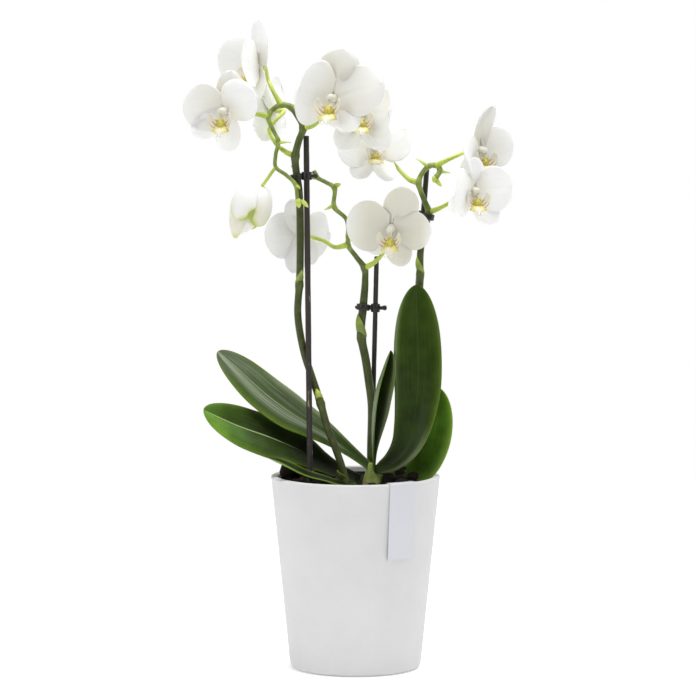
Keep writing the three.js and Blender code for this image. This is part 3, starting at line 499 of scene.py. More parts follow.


# ------------------------ the leaves
# Six thick, leathery leaves, each folded into a channel at its foot and opening flat towards a blunt tip,
# with a sunken midrib. They go from dark green to a fresh one, with painted shade towards the feet of
# some, and pale bands of painted sheen stand in for the softbox's shine on the first and on others.
LEAVES = {
    1: dict(spine=[[18, -0.5, 161.5], [8, 2, 169], [-4, 5, 178], [-18, 7, 188], [-34.5, 8, 199],
        [-54, 10, 210.5], [-75, 14, 226], [-96, 19, 244.5], [-114.5, 25, 261]],
        wide=18.5, peak=0.6, foot=0.26, face=[[0, -0.6, 0.8], [0.2, -0.75, 0.5]], fold=[0.6, 0.22],
        tone=[0.46, 0.5], lip=0.45, neck=2.2, rib=(0.5, 0.1), wax=[(-0.26, 0.22, 0.1, 1.2, 0.85),
        (0.88, 0.14, 0, 0.85, 0.6), (0.45, 0.3, 0.2, 1, 0.35), (0.1, 0.8, 0.7, 1.4, 0.45)]),
    # leaf 2 is painted dark towards its foot, painted shade under leaf 1, and its lower half has painted
    # light
    2: dict(spine=[[3, 3, 155], [-12, 4, 161], [-30, 5, 170], [-48, 4, 180.5], [-72, -1, 191.5],
        [-96, -8, 201], [-114, -15, 210], [-125, -20, 216.5]],
        wide=23, peak=0.6, foot=0.3, face=[[0, -0.6, 0.8], [0, -0.7, 0.7]], fold=[0.5, 0.16], tone=[0.02,
        0.68], rise=2.6, painted_lit_half=0.26, lip=0.3, neck=2.0, rib=(0.85, 0.32),
        wax=[(-0.3, 0.3, 0.5, 1.2, 0.1)]),
    3: dict(spine=[[3, -9, 151], [-12, -15, 154], [-26, -20, 158], [-40, -25, 162.5], [-61.5, -32, 174],
        [-71, -36, 178.5]],
        wide=8.5, peak=0.55, foot=0.5, face=[[0, -0.35, 0.94], [0, -0.3, 0.95]], fold=[0.5, 0.5], tone=[0.12,
        0.3], lip=0.95),
    4: dict(spine=[[16, -2, 158], [15.2, -4.5, 172], [14.6, -8, 208], [17.5, -10, 231], [23.5, -11, 250],
        [29, -12, 265]],
        wide=16.5, peak=0.58, foot=0.12, face=[[0.62, -0.78, 0], [0.62, -0.78, 0.1]], fold=[2.0, 1.9],
        tone=[0.12, 0.2], lip=0.4, neck=2.8, wax=[(0.85, 0.12, 0.1, 1.2, 0.3), (-0.9, 0.1, 0.1, 1.2, 0.3)]),
    5: dict(spine=[[15, -3, 163.5], [22, -5, 167], [29.5, -6, 171], [37, -7.5, 178], [43, -8.5, 187.5],
        [47.3, -9, 201.5], [50.5, -9, 222], [51.5, -9, 240], [51, -8, 272], [50.5, -6, 298],
        [50.5, -4, 318.5]],
        wide=20, peak=0.62, foot=0.05, face=[[-0.35, -0.9, 0.25], [0.1, -1, 0.1]], fold=[0.45, 0.15],
        tone=[0.3, 0.42], lip=0.3, neck=0.62, rib=(0.02, 0.2), wax=[(-0.95, 0.1, 0.25, 1, 0.4),
        (0.86, 0.14, 0, 0.36, 0.65)]),
    # leaf 6 is darker towards its foot: painted shade under the foot of leaf 5
    6: dict(spine=[[20, 3, 154], [32, 3.5, 156], [45, 4.5, 158.5], [56, 4.5, 166], [63, 4.2, 183],
        [67, 4.2, 205], [68, 6, 232.5]],
        wide=16, peak=0.58, foot=0.34, face=[[-0.4, -0.7, 0.5], [-0.3, -1, 0.1]], fold=[0.3, 0.2],
        tone=[0.48, 0.78], rise=0.6, lip=0.6, neck=1.1, rib=(0.02, 0.2)),
}
LEAF_THICK, LEAF_ROWS, LEAF_COLUMNS, LEAF_STEPS = 1.5, 84, 33, 400
RIB_ROUND = 1.5                               # how softly the two halves meet in the rib


def smooth(x, low, high):
    """Rises from 0 at low to 1 at high along 3 u^2 - 2 u^3."""
    u = np.clip((x - low) / (high - low), 0, 1)
    return u * u * (3 - 2 * u)


def bell(x, width):
    """Falls off from 1 on both sides of 0, as exp(-(x / width)^2)."""
    return np.exp(-(x / width) ** 2)


def crowded(count, pull):
    """Places from -1 to 1 that crowd towards both ends: the share `pull` is a sine's, the rest is even."""
    even = np.linspace(-1, 1, count)
    return pull * np.sin(even * math.pi / 2) + (1 - pull) * even


def leaf_blade(seed, spine, wide, peak, foot, face, fold, tone, lip, rise=1.3, painted_lit_half=0.0, neck=1.5, wax=(),
               rib=(0.15, 0.2)):
    """A leaf: half its width is a power (neck) of a sine up to the widest place and then a blunt
    superellipse. Across it, each half rises from the midrib by fold (sqrt(q^2 + e^2) - e), bows over by a
    power of s and waves a little at its margin. Its tone, from foot to tip, is partly painted shade, and
    painted_lit_half is painted light on its lower half. Each band of painted sheen is (middle, width,
    from, to, amount), a bell across the leaf between two places along it, and the rib is (amount, from)."""
    waves = np.random.default_rng(seed).uniform(0, 2 * math.pi, 2)
    u = np.linspace(0, 1, LEAF_ROWS)
    t = 1 - (1 - (u + 0.1 * np.sin(math.pi * u) * u)) ** 1.35     # rows lie closer towards the tip
    t = (t - t[0]) / (t[-1] - t[0])
    dense, even = route(spine, LEAF_STEPS), np.linspace(0, 1, LEAF_STEPS)
    path = sampled(dense, even, t)
    tangent = unit(sampled(unit(np.gradient(dense, axis=0)), even, t))
    side = unit(np.cross(tangent, (1 - t)[:, None] * face[0] + t[:, None] * face[1]))
    up = np.cross(side, tangent)
    growing = foot + (1 - foot) * np.sin(np.minimum(t / peak, 1) * math.pi / 2) ** neck
    closing = (1 - np.clip((t - peak) / (1 - peak), 0, 1) ** 2.4) ** 0.56
    half_width = (wide * np.where(t < peak, growing, closing))[:, None]
    s, t = np.meshgrid(crowded(LEAF_COLUMNS, 0.5), t)
    q = s * half_width
    steep = fold[0] + (fold[1] - fold[0]) * np.minimum(1, 2 * t)
    lifted = steep * (np.sqrt(q ** 2 + RIB_ROUND ** 2) - RIB_ROUND) / np.hypot(1, steep)
    margin = np.sin(7 * t + waves[0] + 2 * np.sign(s)) + 0.6 * np.sin(15 * t + waves[1])
    raised = lifted + half_width * (0.035 * np.abs(s) ** 3 * margin - 0.09 * s ** 4)
    sideways = q / np.hypot(1, steep)
    middle = path[:, None] + side[:, None] * sideways[..., None] + up[:, None] * raised[..., None]
    keel = 0.5 * bell(q, 2.2) * (1 - t)
    half = (LEAF_THICK / 2 + keel) * np.sqrt(1 - s ** 6) * np.sqrt(np.clip((1 - t) * 14, 0, 1))
    # the tone is partly the leaf's own green and partly painted shade; painted_lit_half adds painted light to
    # the lower half
    shade = (tone[0] + (tone[1] - tone[0]) * np.clip((t - 0.1) / 0.8, 0, 1) ** rise
             + painted_lit_half * (1 - smooth(s, -0.08, 0.08)) * smooth(t, 0.15, 0.5))
    # bands of painted sheen, where the leaf would shine in the top light
    painted_silver_sheen = sum((amount * bell(s - at, width) * smooth(t, start, start + 0.25)
                  * (1 - smooth(t, end - 0.2, end)) for at, width, start, end, amount in wax), 0 * s)
    return shell(middle, half, s, t, tone=shade, edge=lip * np.abs(s) ** 7, wax=painted_silver_sheen,
                 rib=rib[0] * smooth(t, rib[1], rib[1] + 0.3))


# A mature leaf: deep green, with a tough glossy cuticle, fine parallel veins, a sunken midrib and a
# slightly paler margin. The underside is duller and greyer. Pale grey-green streaks laid on some leaves are
# painted sheen, the shine of the top light, and the darker tone towards some feet is painted shade.
leaf_cuticle, tree, shader = new_material("waxy_leaf_cuticle")
tone, edge, behind, rib_amount, wax = (add(tree, "Attribute", out="Fac", attribute_name=name)
                                       for name in ("tone", "edge", "back", "rib", "wax"))
place = add(tree, "TexCoord").node.outputs
vein = add(tree, "TexNoise", add(tree, "Mapping", place["UV"], Scale=(46.0, 2.4, 1.0)), 1.0, 3.0)
mottle = add(tree, "TexNoise", place["Object"], 70.0, 5.0)
from_rib = add(tree, "Math", add(tree, "SeparateXYZ", place["UV"]), 0.5, operation="SUBTRACT")
rib = add(tree, "MapRange", add(tree, "Math", from_rib, operation="ABSOLUTE"), 0.0, 0.02, 1.0, 0.0,
          interpolation_type="SMOOTHSTEP")
varied = add(tree, "Math", add(tree, "MapRange", vein, 0.3, 0.7, -0.06, 0.06),
             add(tree, "MapRange", mottle, 0.3, 0.7, -0.08, 0.08))
green = add(tree, "ValToRGB", add(tree, "Math", tone, varied),
            stops=((0, "0e1404"), (0.25, "1d2a08"), (0.5, "30450f"), (0.75, "466b1c"), (1, "6a932c")))
# painted sheen: a pale grey-green, in streaks along the veins, that stands in for the shine of the top light
wax_streak = add(tree, "MapRange", vein, 0.42, 0.62, 0.3)
for amount, colour in ((edge, "8fae3c"), (add(tree, "Math", rib, rib_amount, operation="MULTIPLY"), "b4c98c"),
                       (add(tree, "Math", wax, wax_streak, operation="MULTIPLY"), "a3ae93"),
                       (add(tree, "Math", behind, 0.55, operation="MULTIPLY"), "66853f")):
    green = add(tree, "Mix", amount, green, colour)
groove = add(tree, "Math", rib, -0.9, vein, operation="MULTIPLY_ADD")
gloss = add(tree, "MapRange", mottle, 0.3, 0.7, 0.32, 0.44)
bump = add(tree, "Bump", Height=groove, Strength=0.35, Distance=0.0005)
feed(shader, {"Base Color": green, "Normal": bump, "Roughness": gloss, "Specular IOR Level": 0.14,
              "Coat Weight": 0.03, "Coat Roughness": 0.25})

for n, leaf in LEAVES.items():
    piece(f"leaf_blade_{n}", [leaf_blade(n, **leaf)], leaf_cuticle, f"leaf_{n}")


# ------------------------ the flower spikes
# Three stems that turn from side to side at every flower. Each node carries a dry little scale, and
# from it a lime-green stalk runs out to its flower. A few closed tips sit at the ends.
# A stalk is (flower, points, reach and drop at its end), a scale (foot, tip, width, how fresh a green), and
# a closed tip (start, end, radius). A flower's own changes to its sepals and petals stand behind its place.
SPIKES = {
    "left": dict(stem=[[-5, -9, 110], [-8.5, -9, 157], [-16, -8.5, 182], [-22.5, -8, 198.5],
        [-29.5, -7, 223], [-36.5, -6, 244], [-42.5, -5.5, 263], [-47.5, -5, 293.5], [-46, -5, 322.5],
        [-45.5, -5, 363.5], [-46.5, -5, 396.5], [-48.5, -5, 410], [-49.5, -6.5, 423.5], [-46.5, -7.5, 437],
        [-43, -7.5, 447.5], [-47.5, -4, 457], [-54.5, 1, 465], [-63, 0, 465.5], [-71.5, -3, 457],
        [-67.5, -4, 445.5], [-63.5, -3, 436.5], [-65.5, -6, 425.5], [-65.5, -8, 415.5], [-57, -10, 409],
        [-49.5, -12, 401.5], [-47.5, -12.5, 388]],
        thick=3.05, thin=1.6, thinning=(0.66, 0.9), green_from=0.64,
        stalks=[(1, [[-61, 0, 466], [-67.5, 4, 477]], 5, 9), (2, [[-71.5, -3, 457], [-79, -4, 458.5]]),
        (3, [[-50, -6, 424.5], [-58, -1, 428], [-66.5, 6, 435.5], [-71, 12, 446]]),
        (4, [[-43, -7.5, 447.5], [-34, -11, 450]]), (5, [[-53, 0, 464.5], [-43, 8, 464]])],
        scales=[([-46.5, -7, 318], [-44, -8, 331], 3, 0.5),
        ([-28.4, -8.5, 220.5], [-32.6, -9.6, 233.5], 3.3, 0.74),
        ([-11, -11, 157], [-15.5, -12.5, 166], 3.4, 0.32), ([-63.5, -3, 436.5], [-52.5, -6, 435.5], 2),
        ([-49, -5, 424], [-53, -6, 415], 2), ([-48, -12.5, 402], [-45.5, -14.5, 397.5], 1.8, 0.8)],
        tips=[([-47.3, -12.5, 390.5], [-46.2, -13, 382], 2.6),
        ([-44.5, -13, 389], [-38.6, -14.5, 382.6], 1.8)]),
    "middle": dict(stem=[[13, 13, 110], [13, 13, 156], [13, 12, 179.5], [13.5, 11, 217.5], [11, 10.5, 238],
        [8.5, 10.5, 255], [4.5, 11, 277.5], [6.5, 12, 300.5], [8, 10.5, 321], [7.4, 9, 331], [0.5, 6, 341],
        [-6, 3, 350.5], [-6, 2, 358], [-7.5, 0, 372], [-17.5, -1, 382.5], [-17.5, -2, 398], [-25, 0, 403],
        [-31.5, 2.5, 406.5], [-34.5, 3, 412]],
        thick=3.5, thin=1.75, thinning=(0.55, 0.8), green_from=0.6,
        stalks=[(8, [[7.6, 8.5, 331.5], [16, 7, 336.5], [23, 2, 345]]),
        (7, [[-6, 3, 351], [-17, 4, 349], [-26, 6, 354]])],
        scales=[([5, 8.5, 273], [1.6, 7.5, 293.5], 3.8, 0.5), ([-6, 2, 358], [-1, 0, 358.5], 2),
        ([-17, -1, 382.5], [-26, -3, 380], 2.2), ([-17.5, -2, 398], [-12, -3, 402], 2.2),
        ([-33, 2.5, 408], [-36.5, 3, 405.5], 2)],
        tips=[]),
    "right": dict(stem=[[27, 14, 110], [30, 13, 157], [40.5, 12, 212.5], [48.5, 10, 271], [53.2, 8, 317],
        [53.8, 8, 346], [57.5, 9, 364.5], [60.5, 9, 377], [56.5, 8.5, 388], [53.5, 8, 396], [52, 7.5, 402],
        [55.5, 8.5, 410.5], [61.5, 9, 416], [68, 8, 415.5], [69.5, 7, 411.5], [66, 5, 406]],
        thick=3.0, thin=1.9, thinning=(0.62, 1.0), green_from=0.7,
        stalks=[(6, [[52, 7.5, 402], [45, 14, 404], [37, 24, 411], [27, 29.5, 421]]),
        (9, [[66, 8, 415.8], [79.5, 5, 422.5]]), (10, [[60.5, 9, 377.5], [70.5, 6, 381.5]])],
        scales=[([60.5, 9, 416.5], [49.5, 8, 422], 2.4), ([69, 7, 412.5], [78.5, 5, 410], 2),
        ([66, 5, 406.5], [71, 3.5, 398.5], 2), ([52.6, 6, 326], [50.5, 6, 341], 3.2, 0.5)],
        tips=[([65.6, 4.6, 408.2], [64.4, 4.4, 401.8], 2.2)]),
}
# cream darkens a flower's petals with a greyish cream that stands in for shade on them
BLOOMS = {
    1: dict(at=[-80, 8, 497], turn=-57, nod=-4, size=1.02, sepal_r=dict(phi=-70, size=0.75),
        petal_l=dict(phi=162, lift=36, curl=16), petal_r=dict(phi=14, lift=49, curl=20, size=0.98),
        dorsal=dict(phi=87, size=1.14, wide=1.15, claw=0.8, veer=3)),
    2: dict(at=[-106.5, -30, 462], turn=-18, nod=4, sepal_l=dict(phi=-144), sepal_r=dict(phi=-84),
        petal_r=dict(phi=33, size=0.88), petal_l=dict(wide=0.96, phi=170, cream=0.5),
        dorsal=dict(phi=81, size=0.98, lift=-8, curl=6, cream=1.1)),
    3: dict(at=[-69, 26, 461], turn=-112, roll=28, size=0.95, sepal_r=dict(size=0.75)),
    4: dict(at=[-18, -24, 472], turn=-20, nod=-4, size=1.12, cream=0.35,
        petal_l=dict(phi=164, lift=26, curl=38, size=0.8, wide=1.5),
        petal_r=dict(phi=15, lift=7, curl=10, size=1.2, wide=0.76, cream=0.7),
        dorsal=dict(phi=78, size=1.1, wide=1.4, cream=1.2), sepal_l=dict(phi=-84, size=0.62),
        sepal_r=dict(phi=-50, size=0.86)),
    5: dict(at=[6, 2, 459], turn=-6, nod=-8, size=1.04, cream=0.4, petal_r=dict(phi=-4, lift=30, curl=42),
        petal_l=dict(phi=186, lift=10, curl=30, size=0.75)),
    6: dict(at=[14.5, 20, 428], turn=14, nod=-18, roll=4, size=0.86, petal_r=dict(phi=36, size=1.12),
        petal_l=dict(phi=175)),
    7: dict(at=[-43.5, 22, 357.5], turn=-155, size=0.95, dorsal=dict(phi=70), sepal_r=dict(phi=-73),
        petal_l=dict(phi=178, lift=22, curl=15), petal_r=dict(phi=2), sepal_l=dict(phi=-112, size=0.8)),
    8: dict(at=[29.5, -14, 366], turn=-12, nod=14, cream=1.2, petal_l=dict(phi=174, size=1.06),
        petal_r=dict(phi=-6, size=0.94, wide=0.9, cream=1.6),
        dorsal=dict(phi=64, size=1.12, wide=1.15, cream=2.6), sepal_r=dict(phi=-76, cream=2.6),
        sepal_l=dict(phi=-132, size=0.85)),
    9: dict(at=[102.5, 5, 429], turn=26, nod=4, size=0.96, petal_r=dict(phi=10, size=0.88, cream=0.3),
        petal_l=dict(phi=194, lift=38, curl=20),
        dorsal=dict(phi=94, size=1.14, wide=0.62, veer=-10, cup=0.5, cream=0.8),
        sepal_l=dict(phi=-126, size=0.8), sepal_r=dict(phi=-46, size=0.8)),
    10: dict(at=[97, -14, 396], turn=16, size=0.96, petal_r=dict(phi=6, size=0.96),
        petal_l=dict(phi=182, lift=40, curl=20), dorsal=dict(size=0.85), sepal_l=dict(phi=-144, size=0.8)),
}
STEM_ROWS, STALK_ROWS, SCALE_ROWS, TIP_ROWS = 360, 44, 16, 14
HUB_BACK = 4.2                        # the back of a flower behind the middle of its hub
BUD_AT, BUD_LEAN, BUD_STALK_ROWS = np.array([-87.0, -12, 380]), 8, 30


def facing(turn=0, nod=0, roll=0, **others):
    """The turn of a flower's head, Rz(turn) Rx(nod) Ry(roll), as a matrix."""
    return about(2, math.radians(turn)) @ about(0, math.radians(nod)) @ about(1, math.radians(roll))


def stalk(from_points, bloom, reach=7, drop=0):
    """A flower's stalk: along its points, then square to the flower's back, thicker at each end."""
    back = facing(**bloom) @ [0, 1, 0]
    ends = [bloom["at"] + back * (HUB_BACK + far) - [0, 0, low]
            for far, low in ((reach, drop), (reach / 2, 0), (0, 0))]
    u = np.linspace(0, 1, STALK_ROWS)
    radius = 1.5 + 0.2 * u + bell(u, 0.22) + 0.9 * smooth(u, 0.9, 1)
    return tube(route([*from_points, *ends], STALK_ROWS), radius, young=0.72 + 0.28 * smooth(u, 0.2, 0.95))


def scale_leaf(stem, at, to, wide, fresh=0.72):
    """A pointed scale clasping the stem at `at` and standing off it towards `to`."""
    at, to = np.array(at, float), np.array(to, float)
    near = stem[np.argmin(np.linalg.norm(stem - (at + to) / 2, axis=1))]
    out = unit((at + to) / 2 - near + [0, -0.3, 0])
    t = np.linspace(0, 1, SCALE_ROWS)
    path = at + (to - at) * t[:, None] + out * (0.35 * wide * np.sin(math.pi * t) - 0.15 * wide)[:, None]
    return cupped(path, out, wide * 1.55 * (1 - t ** 1.8) + 0.15, wide * (0.95 + 0.4 * t), 0.7, 11,
                  young=fresh + 0.16 * t - 0.06)


def closed_tip(start, end, radius):
    """A closed tip: an egg of rings from start to end, pointed at its end."""
    u = np.linspace(0, 1, TIP_ROWS)
    return tube(np.linspace(start, end, TIP_ROWS), radius * np.sin(math.pi * u ** 0.8) ** 0.7 + 0.02, 10,
                young=0.82 + 0.1 * u)


stem_paths, stem_radii = {}, {}
for side, spike in SPIKES.items():
    stem = stem_paths[side] = route(spike["stem"], STEM_ROWS)
    u = np.linspace(0, 1, STEM_ROWS)
    buds = [points for _, points, *_ in spike["stalks"]]
    nodes = np.array([scale[0] for scale in spike["scales"]] + [points[0] for points in buds])
    near = np.linalg.norm(stem[:, None] - nodes, axis=2).min(1)
    radius = spike["thick"] + (spike["thin"] - spike["thick"]) * smooth(u, *spike["thinning"])
    radius = stem_radii[side] = radius * (1 + 0.3 * bell(near, 3.2))
    fresh = 0.36 * smooth(u, spike["green_from"], spike["green_from"] + 0.24) + 0.12 * bell(near - 3, 2.5)
    skins = [tube(stem, radius, 16, young=0.08 + fresh)]
    skins += [stalk(points, BLOOMS[n], *end) for n, points, *end in spike["stalks"]]
    skins += [scale_leaf(stem, *scale) for scale in spike["scales"]]
    skins += [scale_leaf(stem, root, root + 5.5 * unit(np.subtract(to, root)), 1.9, 0.7)
              for root, to, *_ in buds]
    skins += [closed_tip(*tip) for tip in spike["tips"]]
    if side == "left":
        ends = [BUD_AT + facing(roll=BUD_LEAN) @ point for point in ([9.5, 0, 25], [6, 0, 18.7])]
        u = np.linspace(0, 1, BUD_STALK_ROWS)
        path = route([[-65.5, -8, 415.5], *ends], BUD_STALK_ROWS)
        skins.append(tube(path, 1.35 + 0.5 * smooth(u, 0.85, 1), young=0.66 + 0.25 * u))
    piece(f"stem_{side}", skins, green_stem, f"spike_{side}")


# ------------------------ the clips
# Snap-on clips of black polypropylene, injection moulded: a ring round the stake, a ring round the stem,
# and a short bar to squeeze.
CLIPS = {"left": (408, 9), "middle": (298, 9.5), "right": (375, 8)}      # height, and length of the bar
CLIP_HEIGHT, CLIP_CORNER = 5, 0.5


def ring(centre, axis, inner, wall, tall):
    """A short round sleeve: a rounded section of radius and height turned about the axis."""
    near, far, top = inner + CLIP_CORNER, inner + wall - CLIP_CORNER, tall / 2 - CLIP_CORNER
    corners = ((far, top), (near, top), (near, -top), (far, -top))
    section = np.vstack([arc(at, CLIP_CORNER, 90 * i, 90 * i + 90, 4) for i, at in enumerate(corners)])
    side = unit(np.cross(axis, [0, 1, 0]))
    return skin(lathe(np.vstack([section, section[:1]]), 28) @ [side, np.cross(axis, side), axis] + centre)


# Moulded polypropylene, near-black: satin, with a soft grain from the tool.
clip_plastic, tree, shader = new_material("moulded_polypropylene")
grain = add(tree, "TexNoise", add(tree, "TexCoord", out="Object"), 900.0, 3.0)
bump = add(tree, "Bump", Height=grain, Strength=0.2, Distance=0.0002)
feed(shader, {"Base Color": add(tree, "Mix", grain, "0f0e0d", "23201e"), "Normal": bump, "Roughness": 0.38})

for side, (height, end) in CLIPS.items():
    foot, head, thickness = (np.array(value, float) for value in STAKES[side])
    hub = foot + (head - foot) * (height - foot[2]) / (head[2] - foot[2])
    stem = stem_paths[side]
    near = np.argmin(np.linalg.norm(stem - hub, axis=1))
    at, stem_radius = stem[near], stem_radii[side][near]
    out = unit((hub - at) * [1, 1, 0])
    inner = (thickness + GAP) * 1.09
    squeeze = 1.6 + 0.5 * smooth(np.linspace(0, 1, 20), 0.4, 0.7)
    squeeze[-2:] = [1.7, 1.0]
    piece(f"clip_body_{side}",
          [ring(hub, unit(head - foot), inner, 1.3, CLIP_HEIGHT + 1.8),
           ring(at, unit(stem[near + 1] - stem[near - 1]), stem_radius + GAP + 0.2, 1.7, CLIP_HEIGHT),
           tube(np.linspace(hub + out * (inner + 0.4), hub + out * end, 20), squeeze),
           tube(np.linspace(at + out * (stem_radius + 1.4), hub - out * (inner + 0.4), 6), 2.0),
           tube(np.linspace(at - out * (stem_radius + 1.6), at - out * (stem_radius + 3.4), 8),
                [1.3, 1.3, 1.3, 1.3, 1.3, 1.2, 1.0, 0.6])],
          clip_plastic, f"clip_{side}")


# ------------------------ the blooms
# Ten open flowers. Three narrow sepals stand behind two broad petals, all of them white, waxy-soft and
# thinner towards their rippled edges, and the column stands forward from the middle under its white cap.
PETAL = dict(length=34, wide=20.5, peak=0.48, claw=0.5, set=-0.7, lift=4, curl=8, ripple=1.0, cup=0, veer=0)
SEPAL = dict(length=32.5, wide=11.3, peak=0.52, claw=0.5, set=0.3, lift=3, curl=6, ripple=0.45, cup=0, veer=0)
TEPALS = {"sepal_r": dict(SEPAL, phi=-56), "sepal_l": dict(SEPAL, phi=-124), "dorsal": dict(SEPAL, phi=90),
          "petal_r": dict(PETAL, phi=8), "petal_l": dict(PETAL, phi=172)}
TEPAL_ROWS, TEPAL_COLUMNS = 40, 29
COLUMN = [[0, -HUB_BACK], [1.4, -HUB_BACK], [2.4, -3], [3.3, -1], [3.6, 1.2], [3.3, 3.2], [2.8, 4.8],
          [2.8, 6], [3, 7.2], [3, 8.2], [2.6, 9.2], [1.9, 9.9], [0.9, 10.2], [0, 10.25]]


def tepal(form, own, size, cream, chance):
    """A sepal or petal in the flower's own axes. Its midline leaves the hub towards phi and bends forward
    along an arc; half its width is a sine up to the widest place, then an ellipse. It bows back towards
    its edges by s^2 and ripples there by |s|^3. `cup` folds its edges forward, `veer` sways its tip aside."""
    size *= own.get("size", 1)
    length, widest = form["length"] * size, form["wide"] * size * own.get("wide", 1)
    form = {**form, **own}
    start, bend, phi = (math.radians(form[key]) for key in ("lift", "curl", "phi"))
    bend += 1e-6                              # so that a straight one divides by no zero
    s, t = np.meshgrid(crowded(TEPAL_COLUMNS, 0.6), 1 - (1 - np.linspace(0, 1, TEPAL_ROWS)) ** 1.9)
    peak, claw = form["peak"], form["claw"]
    rising = claw + (1 - claw) * np.sin(np.minimum(t / peak, 1) * math.pi / 2)
    falling = np.sqrt(np.clip(1 - (np.maximum(t - peak, 0) / (1 - peak)) ** 2.15, 0, 1))
    q = s * widest * np.where(t < peak, rising, falling)
    wave = chance.uniform(0, 2 * math.pi, 4)
    edge = np.abs(s) ** 3 * (0.4 + 0.6 * t) + np.clip(t - 0.75, 0, 1) ** 2 * 6 * (1 - s ** 2)
    ripple = (np.sin(6.5 * t + wave[0] + 1.3 * np.sign(s)) + 0.5 * np.sin(13 * t + wave[1] + np.sign(s))
              + 0.4 * np.sin(4 * s + wave[2]))
    swell = 0.03 * length * np.sin(math.pi * t) * np.sin(2.4 * s + wave[3])
    bow = (form["cup"] - 0.085) * widest * s ** 2 * (0.3 + 0.7 * t) - 0.05 * length * t ** 3
    crease = 0.5 * bell(q, 1.3) * (1 - t)
    off = form["ripple"] * edge * ripple + swell + bow - crease
    angle = start + bend * t
    out = 1 + length * (np.sin(angle) - math.sin(start)) / bend - off * np.sin(angle)
    back = form["set"] - length * (math.cos(start) - np.cos(angle)) / bend - off * np.cos(angle)
    q += form["veer"] * t ** 2
    middle = np.stack([out * math.cos(phi) - q * math.sin(phi), back,
                       out * math.sin(phi) + q * math.cos(phi)], 2)
    half = (0.16 + 0.34 * (1 - s ** 4) * (1 - t ** 4)) * (1 + 0.7 * np.exp(-t * 9))
    # green is a greenish foot that also stands in for shade in the cup about the hub; cream is a greyish
    # cream of painted shade, strongest towards the foot
    return shell(middle, half, s, t, green=0.6 * bell(t * length, 10),
                 cream=own.get("cream", cream) * (1 - 0.7 * t ** 2))


def column():
    """The column: a lathe about the forward axis, narrow at its waist and rounded over at the white cap,
    with painted shade in the hollow under the cap, marked `tinge`, and a greyish cream of
    painted shade over it all."""
    x, z, forward = np.moveaxis(lathe(COLUMN, 20), 2, 0)
    hollow = (np.abs(z + 1.7) < 0.6) & (np.abs(x) < 0.8) & (forward > 8.4)
    return skin(np.stack([x, -forward, z], 2), green=0.6, cream=0.7, tinge=0.8 * hollow)


def placed(skins, bloom):
    """Skins turned the way a flower faces and moved to its hub."""
    return [{**s, "points": s["points"] @ facing(**bloom).T + bloom["at"]} for s in skins]


# White petal tissue: a soft velvety surface of tiny domed cells over watery flesh, so light sinks in a
# little. It is greenish at the foot, where painted shade also deepens the cup about the hub, with veins
# that fan out to the edge. A greyish cream laid over the petals is painted shade, and a brown in the
# hollow under the column's cap is painted shade too.
white_petal, tree, shader = new_material("white_petal_tissue")
place = add(tree, "TexCoord").node.outputs
vein = add(tree, "TexNoise", add(tree, "Mapping", place["UV"], Scale=(22.0, 2.2, 1.0)), 1.0, 3.0)
cells = add(tree, "TexNoise", place["Object"], 1500.0, 2.0)
tone = add(tree, "Mix", add(tree, "MapRange", vein, 0.3, 0.7), "f2f2f1", "f7f7f6")
# green is the greenish foot deepened by painted shade; cream and tinge are painted shade; lime is the bud's
# keels
for name, colour in (("green", "dedac4"), ("cream", "d4d2c5"), ("lime", "b4c236"), ("tinge", "8d7250")):
    tone = add(tree, "Mix", add(tree, "Attribute", out="Fac", attribute_name=name), tone, colour)
bump = add(tree, "Bump", Height=add(tree, "Mix", 0.25, vein, cells), Strength=0.14, Distance=0.0005)
feed(shader, {"Base Color": tone, "Normal": bump, "Roughness": 0.55, "Specular IOR Level": 0.3,
              "Subsurface Weight": 0.2, "Subsurface Radius": (1.0, 1.0, 0.75), "Subsurface Scale": 0.0025,
              "Sheen Weight": 0.1})

for n, bloom in BLOOMS.items():
    chance = np.random.default_rng(100 + n)
    tepals = [tepal(form, bloom.get(name, {}), bloom.get("size", 1), bloom.get("cream", 0), chance)
              for name, form in TEPALS.items()]
    piece(f"petals_{n:02d}", placed([*tepals, column()], bloom), white_petal, f"bloom_{n:02d}")


# ------------------------ the lips
# The lip of each flower hinges under the column: two side lobes curl up beside it like cupped hands,
# striped in red-brown at their feet, and a yellow middle lobe runs out to two thin tendrils.
SIDE_LOBE = [[1.4, -7.6, -11], [4.6, -9.2, -11.4], [7.6, -10.8, -8.4], [8.6, -11.4, -4.2], [7.8, -11.4, -0.4]]
TENDRIL = [[0.6, -16.8, -18], [1.5, -18.4, -19.4], [2.8, -19.4, -19.2], [3.4, -19, -17.8],
           [2.9, -18.3, -17.1]]
LOBE_ROWS, LOBE_COLUMNS, SHORT_ROWS, MIDDLE_ROWS, MIDDLE_COLUMNS = 26, 17, 14, 32, 21


